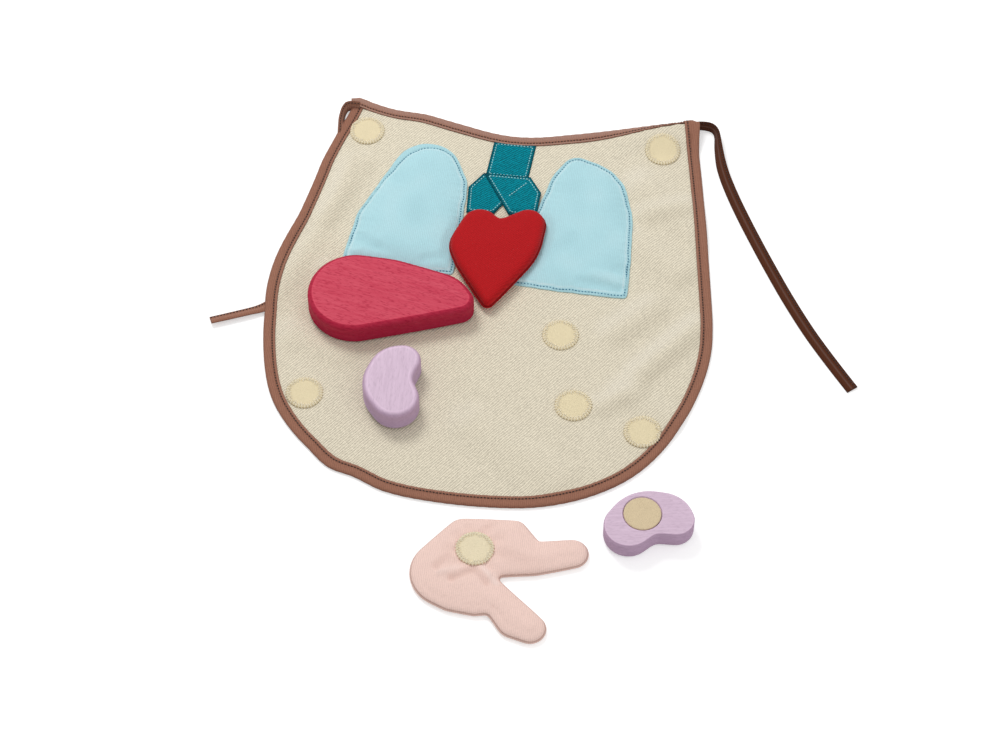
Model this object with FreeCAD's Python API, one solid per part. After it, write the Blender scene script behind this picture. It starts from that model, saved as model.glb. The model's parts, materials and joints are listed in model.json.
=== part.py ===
"""Toy anatomy apron: a bound canvas bib with sewn lungs and airways, and five lift-off organs.

Millimetres. +X is the viewer's right, +Y points to the neck edge, +Z is up from the table.
The origin is on the table, at the middle of the footprint of the laid-out set.
Left and right are as the viewer sees them.
"""

import FreeCAD, Part
import math
import os

os.makedirs("parts", exist_ok=True)

# Apron cut
APRON_WIDTH = 317.0
APRON_HEIGHT = 350.0
NECK_WIDTH = 260.0
NECK_SCOOP = 26.5
NECK_SCOOP_RADIUS = 170.0
NECK_CORNER_RADIUS = 2.5
HEM_FLAT_HALF = 20.5
HEM_RISE = 1.0

# Canvas and its folded binding
CANVAS_THICKNESS = 1.0
BINDING_WIDTH = 8.6
BINDING_LAYER = 0.9

# Neck ties, flat folded tape
TIE_WIDTH = 8.5
TIE_THICKNESS = 0.8
TIE_CLEARANCE = 0.3
ARC_SHARE = 0.45

# Round hook and loop dots
DOT_DIAMETER = 25.0
DOT_THICKNESS = 1.4
UPPER_RIGHT_DOT_FROM_SIDE = 22.0
UPPER_RIGHT_DOT_FROM_NECK = 30.0
UPPER_LEFT_DOT_FROM_SIDE = 20.2
UPPER_LEFT_DOT_FROM_NECK = 36.0
LOWER_DOT_FROM_BINDING = 1.2
LOWER_LEFT_DOT_DEGREES = 212.5
LOWER_RIGHT_DOT_DEGREES = -35.5
STOMACH_DOT_SIDE_SHARE = 0.322
STOMACH_DOT_FROM_LUNG = 24.3
KIDNEY_DOT_SIDE_SHARE = 0.416
KIDNEY_DOT_FROM_STOMACH_DOT = 33.0

# Windpipe strip and the two bronchus strips
STRIP_THICKNESS = 0.7
STRIP_GAP = 0.3
WINDPIPE_WIDTH = 31.0
WINDPIPE_LENGTH = 33.0
WINDPIPE_SLANT = 2.5
BRONCHUS_REACH = 26.5
BRONCHUS_LENGTH = 37.0
BRONCHUS_LAP = 1.5
BRONCHUS_CORNER_SHARES = ((-0.64, 1.0), (0.2, 0.03), (0.95, 0.0), (1.0, 0.63), (0.65, 1.0))

# Padded lungs, sewn down
LUNG_COVER = 0.6
LUNG_EDGE = 1.1
LUNG_CROWN = 5.2
LUNG_CORNER_RADIUS = 3.0
LUNG_SEAM = 2.4
LUNG_GAP = 0.8
LUNG_FOOT_RISE = 3.0
LUNG_TOP_FROM_NECK = 43.5
RIGHT_LUNG_SIDE_SHARE = 0.319
LEFT_LUNG_WIDTH = 80.0
LEFT_LUNG_HEIGHT = 117.5
RIGHT_LUNG_WIDTH = 84.4
RIGHT_LUNG_HEIGHT = 123.7
LUNG_CROWN_SHARES = ((0.86, 0.62), (0.66, 0.88), (0.4, 1.0))

# Stuffed heart
HEART_WIDTH = 66.9
HEART_HEIGHT = 89.0
HEART_CLOTH = 0.6
HEART_BACK_DEPTH = 3.0
HEART_FRONT_DEPTH = 5.6
HEART_SIDE = 4.0
HEART_SIDE_SHARE = -0.014
HEART_ABOVE_LUNG_FOOT = 15.3
HEART_PRESS_GAP = 0.4

# Stuffed stomach, lying on its front
STOMACH_LENGTH = 115.5
STOMACH_WIDTH = 91.5
STOMACH_CLOTH = 0.6
STOMACH_BACK_DEPTH = 3.0
STOMACH_FRONT_DEPTH = 3.2
STOMACH_SIDE = 7.0
STOMACH_FROM_HEM = 8.5
STOMACH_SIDE_SHARE = 0.192
STOMACH_HOOK_PLACE_SHARES = (-0.147, 0.205)

# Wooden organs with a recess for the hook dot
WOOD_THICKNESS = 16.0
WOOD_FRONT_ROUND = 4.0
WOOD_BACK_ROUND = 1.2
RECESS_DEPTH = 1.2
RECESS_CLEARANCE = 0.75
LIVER_LENGTH = 116.3
LIVER_WIDTH = 65.8
LIVER_FROM_LUNG = 1.0
LIVER_FROM_HEART = 4.5
LIVER_HOOK_PLACE_SHARE = -0.13
KIDNEY_LENGTH = 60.4
KIDNEY_WIDTH = 40.5
KIDNEY_HOOK_PLACE_SHARES = (-0.076, -0.051)
LEFT_KIDNEY_SIDE_SHARE = -0.366
LEFT_KIDNEY_FROM_LIVER = 7.9
RIGHT_KIDNEY_PLACE_SHARES = (0.784, -0.01)
RIGHT_KIDNEY_DEGREES = -73.0

# Length by which a cutting block passes the face that it opens
OVERRUN = 2.0

# Points nearer than this are one point
JOIN_TOLERANCE = 0.0001

# Most of a full turn that one arc takes
ARC_TURN_SHARE = 0.3

# Outlines as belts round discs, counterclockwise from above.
# Each disc: x and y of its centre as shares of the width and height, its radius as a share of the
# width, and 1 where the outline passes outside the disc or -1 where it passes inside.
HEART_SHARES = (
    (0.307, 0.355, 0.194, 1),
    (0.005, 0.404, 0.026, -1),
    (-0.202, 0.299, 0.215, 1),
    (-0.152, 0.105, 0.349, 1),
    (-0.112, -0.005, 0.319, 1),
    (-0.004, -0.445, 0.073, 1),
    (-0.444, 0.256, 0.933, 1),
)
# Place in the list of the disc before the heart's straight lower left side
HEART_FLANK = 4
LIVER_SHARES = (
    (0.407, 0.031, 0.094, 1),
    (0.249, -0.086, 0.259, 1),
    (-0.046, -0.087, 0.325, 1),
    (-0.216, 0.0, 0.284, 1),
)
KIDNEY_SHARES = (
    (0.117, 0.293, 0.309, 1),
    (0.103, 0.129, 0.547, 1),
    (0.243, 0.0, 0.743, 1),
    (0.095, -0.229, 0.405, 1),
    (0.581, 0.064, 0.23, -1),
)
STOMACH_SHARES = (
    (0.405, 0.266, 0.095, 1),
    (0.214, 0.364, 0.015, -1),
    (0.063, 0.41, 0.071, 1),
    (-0.221, 0.334, 0.111, 1),
    (-0.272, 0.01, 0.228, 1),
    (-0.225, -0.106, 0.161, 1),
    (-0.106, -0.219, 0.083, 1),
    (-0.039, -0.344, 0.028, -1),
    (0.13, -0.333, 0.109, 1),
    (0.219, -0.381, 0.094, 1),
    (0.03, -0.004, 0.014, -1),
    (0.173, 0.286, 0.187, 1),
)
LEFT_LUNG_SHARES = (
    (0.243, 0.177, 0.257, 1),
    (0.109, 0.297, 0.301, 1),
    (0.005, -0.174, 0.46, 1),
)
RIGHT_LUNG_SHARES = (
    (-0.069, 0.008, 0.552, 1),
    (-0.046, 0.165, 0.47, 1),
    (-0.047, 0.415, 0.122, 1),
    (0.11, 0.255, 0.38, 1),
)

# Tie routes: hand-laid points on the table, out from the tie's own neck corner to its free end
RIGHT_TIE_ROUTE = (
    (1.3, -4.2),
    (9.0, -3.2),
    (15.4, -7.8),
    (17.0, -21.0),
    (21.4, -42.5),
    (31.6, -68.0),
    (45.4, -96.5),
    (60.2, -125.4),
    (77.6, -157.5),
    (99.5, -193.0),
    (124.0, -225.5),
)
LEFT_TIE_ROUTE = (
    (-1.3, -4.2),
    (-7.3, -3.6),
    (-12.6, -6.8),
    (-14.9, -12.5),
    (-12.5, -22.2),
    (-1.6, -35.2),
    (7.8, -58.4),
    (6.6, -91.4),
    (1.4, -124.5),
    (-4.6, -157.5),
    (-13.0, -185.5),
    (-25.0, -203.5),
    (-43.5, -211.8),
    (-62.5, -219.8),
)

# Levels above the table
canvas_bottom = BINDING_LAYER
canvas_top = canvas_bottom + CANVAS_THICKNESS
binding_top = canvas_top + BINDING_LAYER
hook_bottom = canvas_top + DOT_THICKNESS
hook_top = hook_bottom + DOT_THICKNESS
wood_back = hook_top - RECESS_DEPTH

# Places on the table
half_width = APRON_WIDTH / 2
set_depth = APRON_HEIGHT + STOMACH_FROM_HEM + STOMACH_WIDTH
neck_y = set_depth / 2
hem_y = neck_y - APRON_HEIGHT
scoop_y = neck_y - NECK_SCOOP
side_round = half_width - HEM_FLAT_HALF
side_round_y = hem_y + HEM_RISE + side_round
hem_round = (HEM_FLAT_HALF**2 + 2 * side_round * HEM_RISE + HEM_RISE**2) / (2 * HEM_RISE)


def point(x, y, z=0.0):
    return FreeCAD.Vector(x, y, z)


def on_apron(shares):
    """Place given as shares of the apron's half width and of its height above the hem."""
    return point(shares[0] * half_width, hem_y + shares[1] * APRON_HEIGHT)


def save(shape, node):
    shape.exportStep(os.path.join("parts", node + ".step"))


def solid_of(shape):
    """The one solid of a shape, in place of the compound that a cut leaves."""
    return shape.Solids[0]


# Outlines


def discs(shares, width, height, place, degrees=0.0):
    """Discs of an outline at a place, turned about it."""
    cosine = math.cos(math.radians(degrees))
    sine = math.sin(math.radians(degrees))
    placed = []
    for x_share, y_share, radius_share, turn in shares:
        x = x_share * width
        y = y_share * height
        centre = place + point(x * cosine - y * sine, x * sine + y * cosine)
        placed.append((centre, radius_share * width, turn))
    return placed


def shrunk(outline, place, share):
    """The same discs drawn in towards a place."""
    drawn = []
    for centre, radius, turn in outline:
        drawn.append((place + (centre - place) * share, radius * share, turn))
    return drawn


def tangent_normals(outline, inset):
    """Left normals of the straight runs from each disc to the next, and the signed radii."""
    radii = [turn * radius - inset for centre, radius, turn in outline]
    normals = []
    for i, (centre, radius, turn) in enumerate(outline):
        j = (i + 1) % len(outline)
        way = outline[j][0] - centre
        cosine = (radii[j] - radii[i]) / way.Length
        sine = math.sqrt(max(0.0, 1 - cosine**2))
        along = way / way.Length
        normals.append(along * cosine + point(-along.y, along.x) * sine)
    return normals, radii


def turn_arcs(centre, radius, arriving, leaving):
    """Points of the arcs round one disc: start, then a middle and an end for each arc."""
    start = math.atan2(arriving.y, arriving.x)
    sweep = (math.atan2(leaving.y, leaving.x) - start) % (2 * math.pi)
    if radius < 0:
        sweep -= 2 * math.pi
    arcs = math.ceil(abs(sweep) / (2 * math.pi * ARC_TURN_SHARE))
    steps = [start + sweep * k / (2 * arcs) for k in range(2 * arcs + 1)]
    return [centre - point(math.cos(a), math.sin(a)) * radius for a in steps]


def belt(outline, z=0.0, inset=0.0):
    """Closed wire round the discs, drawn in by an inset, at a height."""
    normals, radii = tangent_normals(outline, inset)
    corners = []
    for i, (centre, radius, turn) in enumerate(outline):
        arriving = normals[i - 1]
        leaving = normals[i]
        if turn > 0 and radii[i] <= 0:
            mitre = (arriving + leaving) / (1 + arriving.dot(leaving))
            corners.append([centre - mitre * radii[i]])
        else:
            corners.append(turn_arcs(centre, radii[i], arriving, leaving))
    lift = point(0, 0, z)
    edges = []
    for i, corner in enumerate(corners):
        following = corners[(i + 1) % len(corners)]
        tangent = corner[-1].distanceToPoint(following[0]) < JOIN_TOLERANCE
        if tangent:
            following[0] = corner[-1]
        else:
            edges.append(Part.LineSegment(corner[-1] + lift, following[0] + lift).toShape())
        for start, middle, end in zip(following[0::2], following[1::2], following[2::2]):
            edges.append(Part.Arc(start + lift, middle + lift, end + lift).toShape())
    return Part.Wire(edges)


def slab(wire, thickness):
    return Part.Face(wire).extrude(point(0, 0, thickness))


def plate(outline, z, thickness, inset=0.0):
    return slab(belt(outline, z, inset), thickness)


def polygon(points, z, thickness):
    corners = [p + point(0, 0, z) for p in points]
    return slab(Part.makePolygon(corners + corners[:1]), thickness)


def disc(place, z, diameter, thickness):
    return Part.makeCylinder(diameter / 2, thickness, place + point(0, 0, z))


def loft(wires):
    return Part.makeLoft(wires, True, True)


# Apron cloth

apron_outline = [
    (point(half_width - side_round, side_round_y), side_round, 1),
    (point(NECK_WIDTH / 2 - NECK_CORNER_RADIUS, neck_y - NECK_CORNER_RADIUS), NECK_CORNER_RADIUS, 1),
    (point(0, scoop_y + NECK_SCOOP_RADIUS), NECK_SCOOP_RADIUS, -1),
    (point(NECK_CORNER_RADIUS - NECK_WIDTH / 2, neck_y - NECK_CORNER_RADIUS), NECK_CORNER_RADIUS, 1),
    (point(side_round - half_width, side_round_y), side_round, 1),
    (point(0, hem_y + hem_round), hem_round, 1),
]


def below_neck_band():
    """Everything lower than the neck binding's inner edge."""
    normals, radii = tangent_normals(apron_outline, BINDING_WIDTH)
    scoop = apron_outline[2][0]
    arc = turn_arcs(scoop, radii[2], normals[1], normals[2])
    right_way = point(normals[1].y, -normals[1].x)
    left_way = point(-normals[2].y, normals[2].x)
    right_end = arc[0] - right_way * half_width
    left_end = arc[-1] - left_way * half_width
    right_foot = point(right_end.x, hem_y - BINDING_WIDTH)
    left_foot = point(left_end.x, hem_y - BINDING_WIDTH)
    edges = [
        Part.LineSegment(right_end, arc[0]).toShape(),
        Part.Arc(arc[0], arc[len(arc) // 2], arc[-1]).toShape(),
        Part.LineSegment(arc[-1], left_end).toShape(),
        Part.LineSegment(left_end, left_foot).toShape(),
        Part.LineSegment(left_foot, right_foot).toShape(),
        Part.LineSegment(right_foot, right_end).toShape(),
    ]
    return slab(Part.Wire(edges), binding_top)


def tie_corner(route):
    """Neck corner that a route sets out from, on the side that it leads to."""
    return point(math.copysign(NECK_WIDTH / 2, route[0][0]), neck_y)


def route_corners(route):
    """Tangent points and middles of the arcs at a route's inner points, and the radii."""
    points = [tie_corner(route) + point(x, y) for x, y in route]
    corners = []
    radii = []
    for before, here, after in zip(points, points[1:], points[2:]):
        back = before - here
        on = after - here
        reach = ARC_SHARE * min(back.Length, on.Length)
        half_turn = (math.pi - back.getAngle(on)) / 2
        radius = reach / math.tan(half_turn)
        back.normalize()
        on.normalize()
        inward = back + on
        inward.normalize()
        centre = here + inward * (radius / math.cos(half_turn))
        side = 1 if back.cross(on).z < 0 else -1
        corners.append((here + back * reach, centre - inward * radius, here + on * reach, centre, side))
        radii.append(radius)
    return points, corners, radii


def tape_side(route, shift):
    """Edges along a route, moved sideways: plus to its left, minus to its right."""
    points, corners, radii = route_corners(route)

    def left_of(start, end):
        way = end - start
        way.normalize()
        return point(-way.y, way.x) * shift

    edges = []
    here = points[0] + left_of(points[0], points[1])
    for (start, middle, end, centre, side), radius in zip(corners, radii):
        scale = (radius - side * shift) / radius
        first = centre + (start - centre) * scale
        bend = centre + (middle - centre) * scale
        last = centre + (end - centre) * scale
        edges.append(Part.LineSegment(here, first).toShape())
        edges.append(Part.Arc(first, bend, last).toShape())
        here = last
    edges.append(Part.LineSegment(here, points[-1] + left_of(points[-2], points[-1])).toShape())
    return edges


def tape(route, width, thickness):
    """Flat tape along a route on the table."""
    left = tape_side(route, width / 2)
    right = tape_side(route, -width / 2)
    start = Part.LineSegment(right[0].firstVertex().Point, left[0].firstVertex().Point).toShape()
    end = Part.LineSegment(left[-1].lastVertex().Point, right[-1].lastVertex().Point).toShape()
    outline = Part.Wire(Part.__sortEdges__([start] + left + [end] + right))
    return slab(outline, thickness)


def make_ties():
    ties = {"left_tie": LEFT_TIE_ROUTE, "right_tie": RIGHT_TIE_ROUTE}
    for node, route in ties.items():
        tie = tape(route, TIE_WIDTH, TIE_THICKNESS)
        radii = route_corners(route)[2]
        length = Part.Wire(Part.__sortEdges__(tape_side(route, 0.0))).Length
        print(node, "length", round(length, 1), "radii", [round(r, 1) for r in radii])
        plain_volume = TIE_WIDTH * TIE_THICKNESS * length
        print(node, "volume share of section times length", tie.Volume / plain_volume)
        save(tie, node)


def make_apron():
    canvas = plate(apron_outline, canvas_bottom, CANVAS_THICKNESS, BINDING_LAYER)
    whole = plate(apron_outline, 0.0, binding_top)
    middle = plate(apron_outline, -OVERRUN, binding_top + 2 * OVERRUN, BINDING_WIDTH)
    lower = below_neck_band()
    channel = tape(LEFT_TIE_ROUTE, TIE_WIDTH + 2 * TIE_CLEARANCE, canvas_bottom)
    save(canvas, "canvas_panel")
    save(solid_of(whole.cut(lower).cut(canvas)), "neck_binding")
    save(solid_of(whole.common(lower).cut(middle).cut(canvas).cut(channel)), "edge_binding")


# Airways, flat strips sewn on in layers


def make_airways():
    top = scoop_y - BINDING_WIDTH - STRIP_GAP
    bottom = top - WINDPIPE_LENGTH
    half = WINDPIPE_WIDTH / 2
    windpipe = [
        point(-half, top),
        point(-half - WINDPIPE_SLANT, bottom),
        point(half - WINDPIPE_SLANT, bottom),
        point(half, top),
    ]
    save(polygon(windpipe, canvas_top, STRIP_THICKNESS), "windpipe_strip")
    foot = bottom + BRONCHUS_LAP - BRONCHUS_LENGTH
    layers = (("left_bronchus_strip", -1, 1), ("right_bronchus_strip", 1, 2))
    for node, side, layer in layers:
        strip = [
            point(side * x_share * BRONCHUS_REACH - WINDPIPE_SLANT, foot + y_share * BRONCHUS_LENGTH)
            for x_share, y_share in BRONCHUS_CORNER_SHARES
        ]
        save(polygon(strip, canvas_top + layer * STRIP_THICKNESS, STRIP_THICKNESS), node)


# Organ places

lung_top = neck_y - LUNG_TOP_FROM_NECK
left_lung_place = point(
    -WINDPIPE_SLANT - BRONCHUS_REACH - LUNG_GAP - LEFT_LUNG_WIDTH / 2,
    lung_top - LEFT_LUNG_HEIGHT / 2,
)
right_lung_place = point(
    BRONCHUS_REACH + LUNG_GAP - WINDPIPE_SLANT + RIGHT_LUNG_SIDE_SHARE * RIGHT_LUNG_WIDTH,
    lung_top - RIGHT_LUNG_HEIGHT / 2,
)
left_lung_foot = lung_top - LEFT_LUNG_HEIGHT
right_lung_foot = lung_top - RIGHT_LUNG_HEIGHT
heart_place = point(HEART_SIDE_SHARE * half_width, left_lung_foot + HEART_ABOVE_LUNG_FOOT)
heart_outline = discs(HEART_SHARES, HEART_WIDTH, HEART_HEIGHT, heart_place)


def beside_heart_flank(y, radius):
    """Centre of a disc at a height on the apron, standing off the heart's straight lower left side."""
    normals, radii = tangent_normals(heart_outline, 0.0)
    inward = normals[HEART_FLANK]
    on_side = heart_outline[HEART_FLANK][0] - inward * radii[HEART_FLANK]
    away = radius + LIVER_FROM_HEART
    return point(on_side.x - (away + (y - on_side.y) * inward.y) / inward.x, y)


liver_y = left_lung_foot - LIVER_FROM_LUNG - LIVER_WIDTH / 2
liver_tip = beside_heart_flank(
    liver_y + LIVER_SHARES[0][1] * LIVER_WIDTH,
    LIVER_SHARES[0][2] * LIVER_LENGTH,
)
liver_place = point(liver_tip.x - LIVER_SHARES[0][0] * LIVER_LENGTH, liver_y)
liver_hook_place = liver_place + point(LIVER_HOOK_PLACE_SHARE * LIVER_LENGTH, 0)
left_kidney_place = point(
    LEFT_KIDNEY_SIDE_SHARE * half_width,
    liver_y - LIVER_WIDTH / 2 - LEFT_KIDNEY_FROM_LIVER - KIDNEY_LENGTH / 2,
)
right_kidney_place = on_apron(RIGHT_KIDNEY_PLACE_SHARES)
stomach_place = point(STOMACH_SIDE_SHARE * half_width, STOMACH_WIDTH / 2 - set_depth / 2)


def kidney_hook_place(place, degrees):
    x = KIDNEY_HOOK_PLACE_SHARES[0] * KIDNEY_WIDTH
    y = KIDNEY_HOOK_PLACE_SHARES[1] * KIDNEY_LENGTH
    cosine = math.cos(math.radians(degrees))
    sine = math.sin(math.radians(degrees))
    return place + point(x * cosine - y * sine, x * sine + y * cosine)


# Lungs


def lung_wires(outline, place, inset, floor, drop):
    """Wires from the sewn edge up over the crown."""
    wires = [
        belt(outline, floor, inset),
        belt(outline, canvas_top + LUNG_EDGE - drop, inset),
    ]
    for size_share, height_share in LUNG_CROWN_SHARES:
        height = canvas_top + LUNG_EDGE + (LUNG_CROWN - LUNG_EDGE) * height_share - drop
        wires.append(belt(shrunk(outline, place, size_share), height, inset * size_share))
    return wires


def make_lung(side, shares, width, height, place):
    corner_x = width / 2 - LUNG_CORNER_RADIUS
    corner_y = LUNG_CORNER_RADIUS - height / 2
    outline = discs(shares, width, height, place)
    outline.append((place + point(-corner_x, corner_y + LUNG_FOOT_RISE), LUNG_CORNER_RADIUS, 1))
    outline.append((place + point(corner_x, corner_y), LUNG_CORNER_RADIUS, 1))
    pressed = hook_top - HEART_PRESS_GAP
    depth = LUNG_CROWN + OVERRUN
    outer = loft(lung_wires(outline, place, 0.0, canvas_top, 0.0))
    outer = outer.cut(plate(heart_outline, pressed, depth, -HEART_PRESS_GAP))
    inner = loft(lung_wires(outline, place, LUNG_SEAM, canvas_top, LUNG_COVER))
    inner = inner.cut(plate(heart_outline, pressed - LUNG_COVER, depth, -HEART_PRESS_GAP - LUNG_COVER))
    save(solid_of(outer.cut(inner)), side + "_lung_cover")
    save(solid_of(inner), side + "_lung_padding")


# Stuffed organs


def cushion_wires(outline, seam, side, depth, cloth):
    """Wires from the seam to the face, rounding over within a side of given width."""
    steps = 4
    wires = []
    for k in range(steps + 1):
        angle = math.pi / 2 * k / steps
        inset = cloth + (side - cloth) * (1 - math.cos(angle))
        wires.append(belt(outline, seam + depth * math.sin(angle), inset))
    return wires


def stuffed(outline, seam, side, lower, upper, cloth, lower_node, upper_node, filling_node):
    """Two sewn cloths and the filling between them."""
    lower_half = loft(cushion_wires(outline, seam, side, -lower, 0.0))
    upper_half = loft(cushion_wires(outline, seam, side, upper, 0.0))
    bottom = cushion_wires(outline, seam, side, cloth - lower, cloth)
    top = cushion_wires(outline, seam, side, upper - cloth, cloth)
    filling = loft(bottom[:0:-1] + top)
    save(solid_of(lower_half.cut(filling)), lower_node)
    save(solid_of(upper_half.cut(filling)), upper_node)
    save(filling, filling_node)


def make_heart():
    seam = hook_top + HEART_BACK_DEPTH
    stuffed(
        heart_outline, seam, HEART_SIDE, HEART_BACK_DEPTH, HEART_FRONT_DEPTH, HEART_CLOTH,
        "heart_back_cloth", "heart_front_cloth", "heart_filling",
    )
    save(disc(heart_place, hook_bottom, DOT_DIAMETER, DOT_THICKNESS), "heart_hook_dot")


def make_stomach():
    outline = discs(STOMACH_SHARES, STOMACH_LENGTH, STOMACH_WIDTH, stomach_place)
    stuffed(
        outline, STOMACH_FRONT_DEPTH, STOMACH_SIDE, STOMACH_FRONT_DEPTH, STOMACH_BACK_DEPTH, STOMACH_CLOTH,
        "stomach_front_cloth", "stomach_back_cloth", "stomach_filling",
    )
    x_share, y_share = STOMACH_HOOK_PLACE_SHARES
    place = stomach_place + point(x_share * STOMACH_LENGTH, y_share * STOMACH_WIDTH)
    top = STOMACH_FRONT_DEPTH + STOMACH_BACK_DEPTH
    save(disc(place, top, DOT_DIAMETER, DOT_THICKNESS), "stomach_hook_dot")


# Wooden organs


def flat_edges(block, z):
    """Edges of a block that lie wholly at one height."""
    found = []
    for edge in block.Edges:
        heights = [vertex.Z for vertex in edge.Vertexes]
        if max(abs(height - z) for height in heights) < JOIN_TOLERANCE:
            found.append(edge)
    return found


def save_wooden(outline, hook_place, back, facing, organ):
    """Block with rounded arrises, and the hook dot in its back. Facing is 1 front up or -1 back up."""
    front = back + facing * WOOD_THICKNESS
    recess = back + facing * RECESS_DEPTH
    bore = DOT_DIAMETER + 2 * RECESS_CLEARANCE
    block = plate(outline, min(back, front), WOOD_THICKNESS)
    block = block.makeFillet(WOOD_FRONT_ROUND, flat_edges(block, front))
    block = block.makeFillet(WOOD_BACK_ROUND, flat_edges(block, back))
    depth = RECESS_DEPTH + OVERRUN
    cutter = disc(hook_place, min(recess, recess - facing * depth), bore, depth)
    hook_low = min(recess, recess - facing * DOT_THICKNESS)
    save(solid_of(block.cut(cutter)), organ + "_block")
    save(disc(hook_place, hook_low, DOT_DIAMETER, DOT_THICKNESS), organ + "_hook_dot")


def make_liver():
    outline = discs(LIVER_SHARES, LIVER_LENGTH, LIVER_WIDTH, liver_place)
    save_wooden(outline, liver_hook_place, wood_back, 1, "liver")


def make_kidneys():
    left = discs(KIDNEY_SHARES, KIDNEY_WIDTH, KIDNEY_LENGTH, left_kidney_place)
    save_wooden(left, kidney_hook_place(left_kidney_place, 0.0), wood_back, 1, "left_kidney")
    right = discs(KIDNEY_SHARES, KIDNEY_WIDTH, KIDNEY_LENGTH, right_kidney_place, RIGHT_KIDNEY_DEGREES)
    hook_place = kidney_hook_place(right_kidney_place, RIGHT_KIDNEY_DEGREES)
    save_wooden(right, hook_place, WOOD_THICKNESS, -1, "right_kidney")


# Loop dots on the canvas


def lower_dot_place(side, degrees):
    """Place close inside the binding on one lower round of the apron."""
    reach = side_round - BINDING_WIDTH - LOWER_DOT_FROM_BINDING - DOT_DIAMETER / 2
    angle = math.radians(degrees)
    centre = point(side * (half_width - side_round), side_round_y)
    return centre + point(math.cos(angle), math.sin(angle)) * reach


def make_loop_dots():
    left_x = UPPER_LEFT_DOT_FROM_SIDE - NECK_WIDTH / 2
    right_x = NECK_WIDTH / 2 - UPPER_RIGHT_DOT_FROM_SIDE
    stomach_dot_y = right_lung_foot - STOMACH_DOT_FROM_LUNG - DOT_DIAMETER / 2
    kidney_dot_y = stomach_dot_y - KIDNEY_DOT_FROM_STOMACH_DOT - DOT_DIAMETER
    places = {
        "loop_dot_upper_left": point(left_x, neck_y - UPPER_LEFT_DOT_FROM_NECK),
        "loop_dot_upper_right": point(right_x, neck_y - UPPER_RIGHT_DOT_FROM_NECK),
        "loop_dot_lower_left": lower_dot_place(-1, LOWER_LEFT_DOT_DEGREES),
        "loop_dot_lower_right": lower_dot_place(1, LOWER_RIGHT_DOT_DEGREES),
        "stomach_loop_dot": point(STOMACH_DOT_SIDE_SHARE * half_width, stomach_dot_y),
        "right_kidney_loop_dot": point(KIDNEY_DOT_SIDE_SHARE * half_width, kidney_dot_y),
        "left_kidney_loop_dot": kidney_hook_place(left_kidney_place, 0.0),
        "liver_loop_dot": liver_hook_place,
        "heart_loop_dot": heart_place,
    }
    for node, place in places.items():
        save(disc(place, canvas_top, DOT_DIAMETER, DOT_THICKNESS), node)


make_ties()
make_apron()
make_airways()
make_lung("left", LEFT_LUNG_SHARES, LEFT_LUNG_WIDTH, LEFT_LUNG_HEIGHT, left_lung_place)
make_lung("right", RIGHT_LUNG_SHARES, RIGHT_LUNG_WIDTH, RIGHT_LUNG_HEIGHT, right_lung_place)
make_heart()
make_stomach()
make_liver()
make_kidneys()
make_loop_dots()
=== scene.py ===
"""Looks of the toy anatomy apron: cloth, stitching, stained wood and the studio stage.

All lengths are metres, in the frame of the solids: +X to the viewer's right, +Y to the neck edge, +Z up.
"""

import json
import math

import bmesh
import bpy
import numpy as np
from bpy.props import FloatProperty, FloatVectorProperty, PointerProperty
from bpy.types import Operator, Panel, PropertyGroup
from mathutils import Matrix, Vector, noise
from mathutils.geometry import delaunay_2d_cdt
from mathutils.kdtree import KDTree


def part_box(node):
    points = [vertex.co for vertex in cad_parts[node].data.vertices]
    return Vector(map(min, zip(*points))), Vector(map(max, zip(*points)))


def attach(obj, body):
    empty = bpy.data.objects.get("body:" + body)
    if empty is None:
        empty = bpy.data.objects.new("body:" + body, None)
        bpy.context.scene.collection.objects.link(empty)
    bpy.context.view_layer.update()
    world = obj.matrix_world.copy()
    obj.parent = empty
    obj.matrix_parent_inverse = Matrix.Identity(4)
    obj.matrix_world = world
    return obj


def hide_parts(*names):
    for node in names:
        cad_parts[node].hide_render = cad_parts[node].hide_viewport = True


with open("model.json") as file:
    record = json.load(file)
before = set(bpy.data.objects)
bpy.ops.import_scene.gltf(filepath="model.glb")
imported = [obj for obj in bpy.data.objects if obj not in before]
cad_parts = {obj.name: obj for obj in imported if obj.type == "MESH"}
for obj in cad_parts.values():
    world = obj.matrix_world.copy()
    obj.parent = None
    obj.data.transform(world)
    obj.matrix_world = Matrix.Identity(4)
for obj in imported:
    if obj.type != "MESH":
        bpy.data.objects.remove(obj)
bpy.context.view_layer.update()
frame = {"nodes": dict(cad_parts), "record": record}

bl_info = {
    "name": "Toy anatomy apron",
    "version": (1, 0, 0),
    "blender": (4, 5, 0),
    "location": "3D View > Sidebar > Apron",
    "description": "Dresses the apron's solids in cloth, stitching and stained wood, and lights them",
    "category": "Object",
}

# Levels of the layers, read from the solids
CANVAS_LOW = float(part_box("canvas_panel")[0][2])
CANVAS_TOP = float(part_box("canvas_panel")[1][2])
BINDING_TOP = float(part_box("neck_binding")[1][2])
BINDING_LAYER = BINDING_TOP - CANVAS_TOP
NECK_CORNER = (float(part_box("neck_binding")[1][0]), float(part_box("neck_binding")[1][1]))
HEART_SEAM = float(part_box("heart_back_cloth")[1][2])
HEART_TOP = float(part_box("heart_front_cloth")[1][2])
HEART_LOW = float(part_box("heart_back_cloth")[0][2])
STOMACH_SEAM = float(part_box("stomach_front_cloth")[1][2])
STOMACH_DOT_SEAT = float(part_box("stomach_hook_dot")[0][2])
LUNG_TOP = float(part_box("left_lung_cover")[1][2])
LUNG_PRESSED = HEART_LOW - BINDING_LAYER / 2

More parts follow.
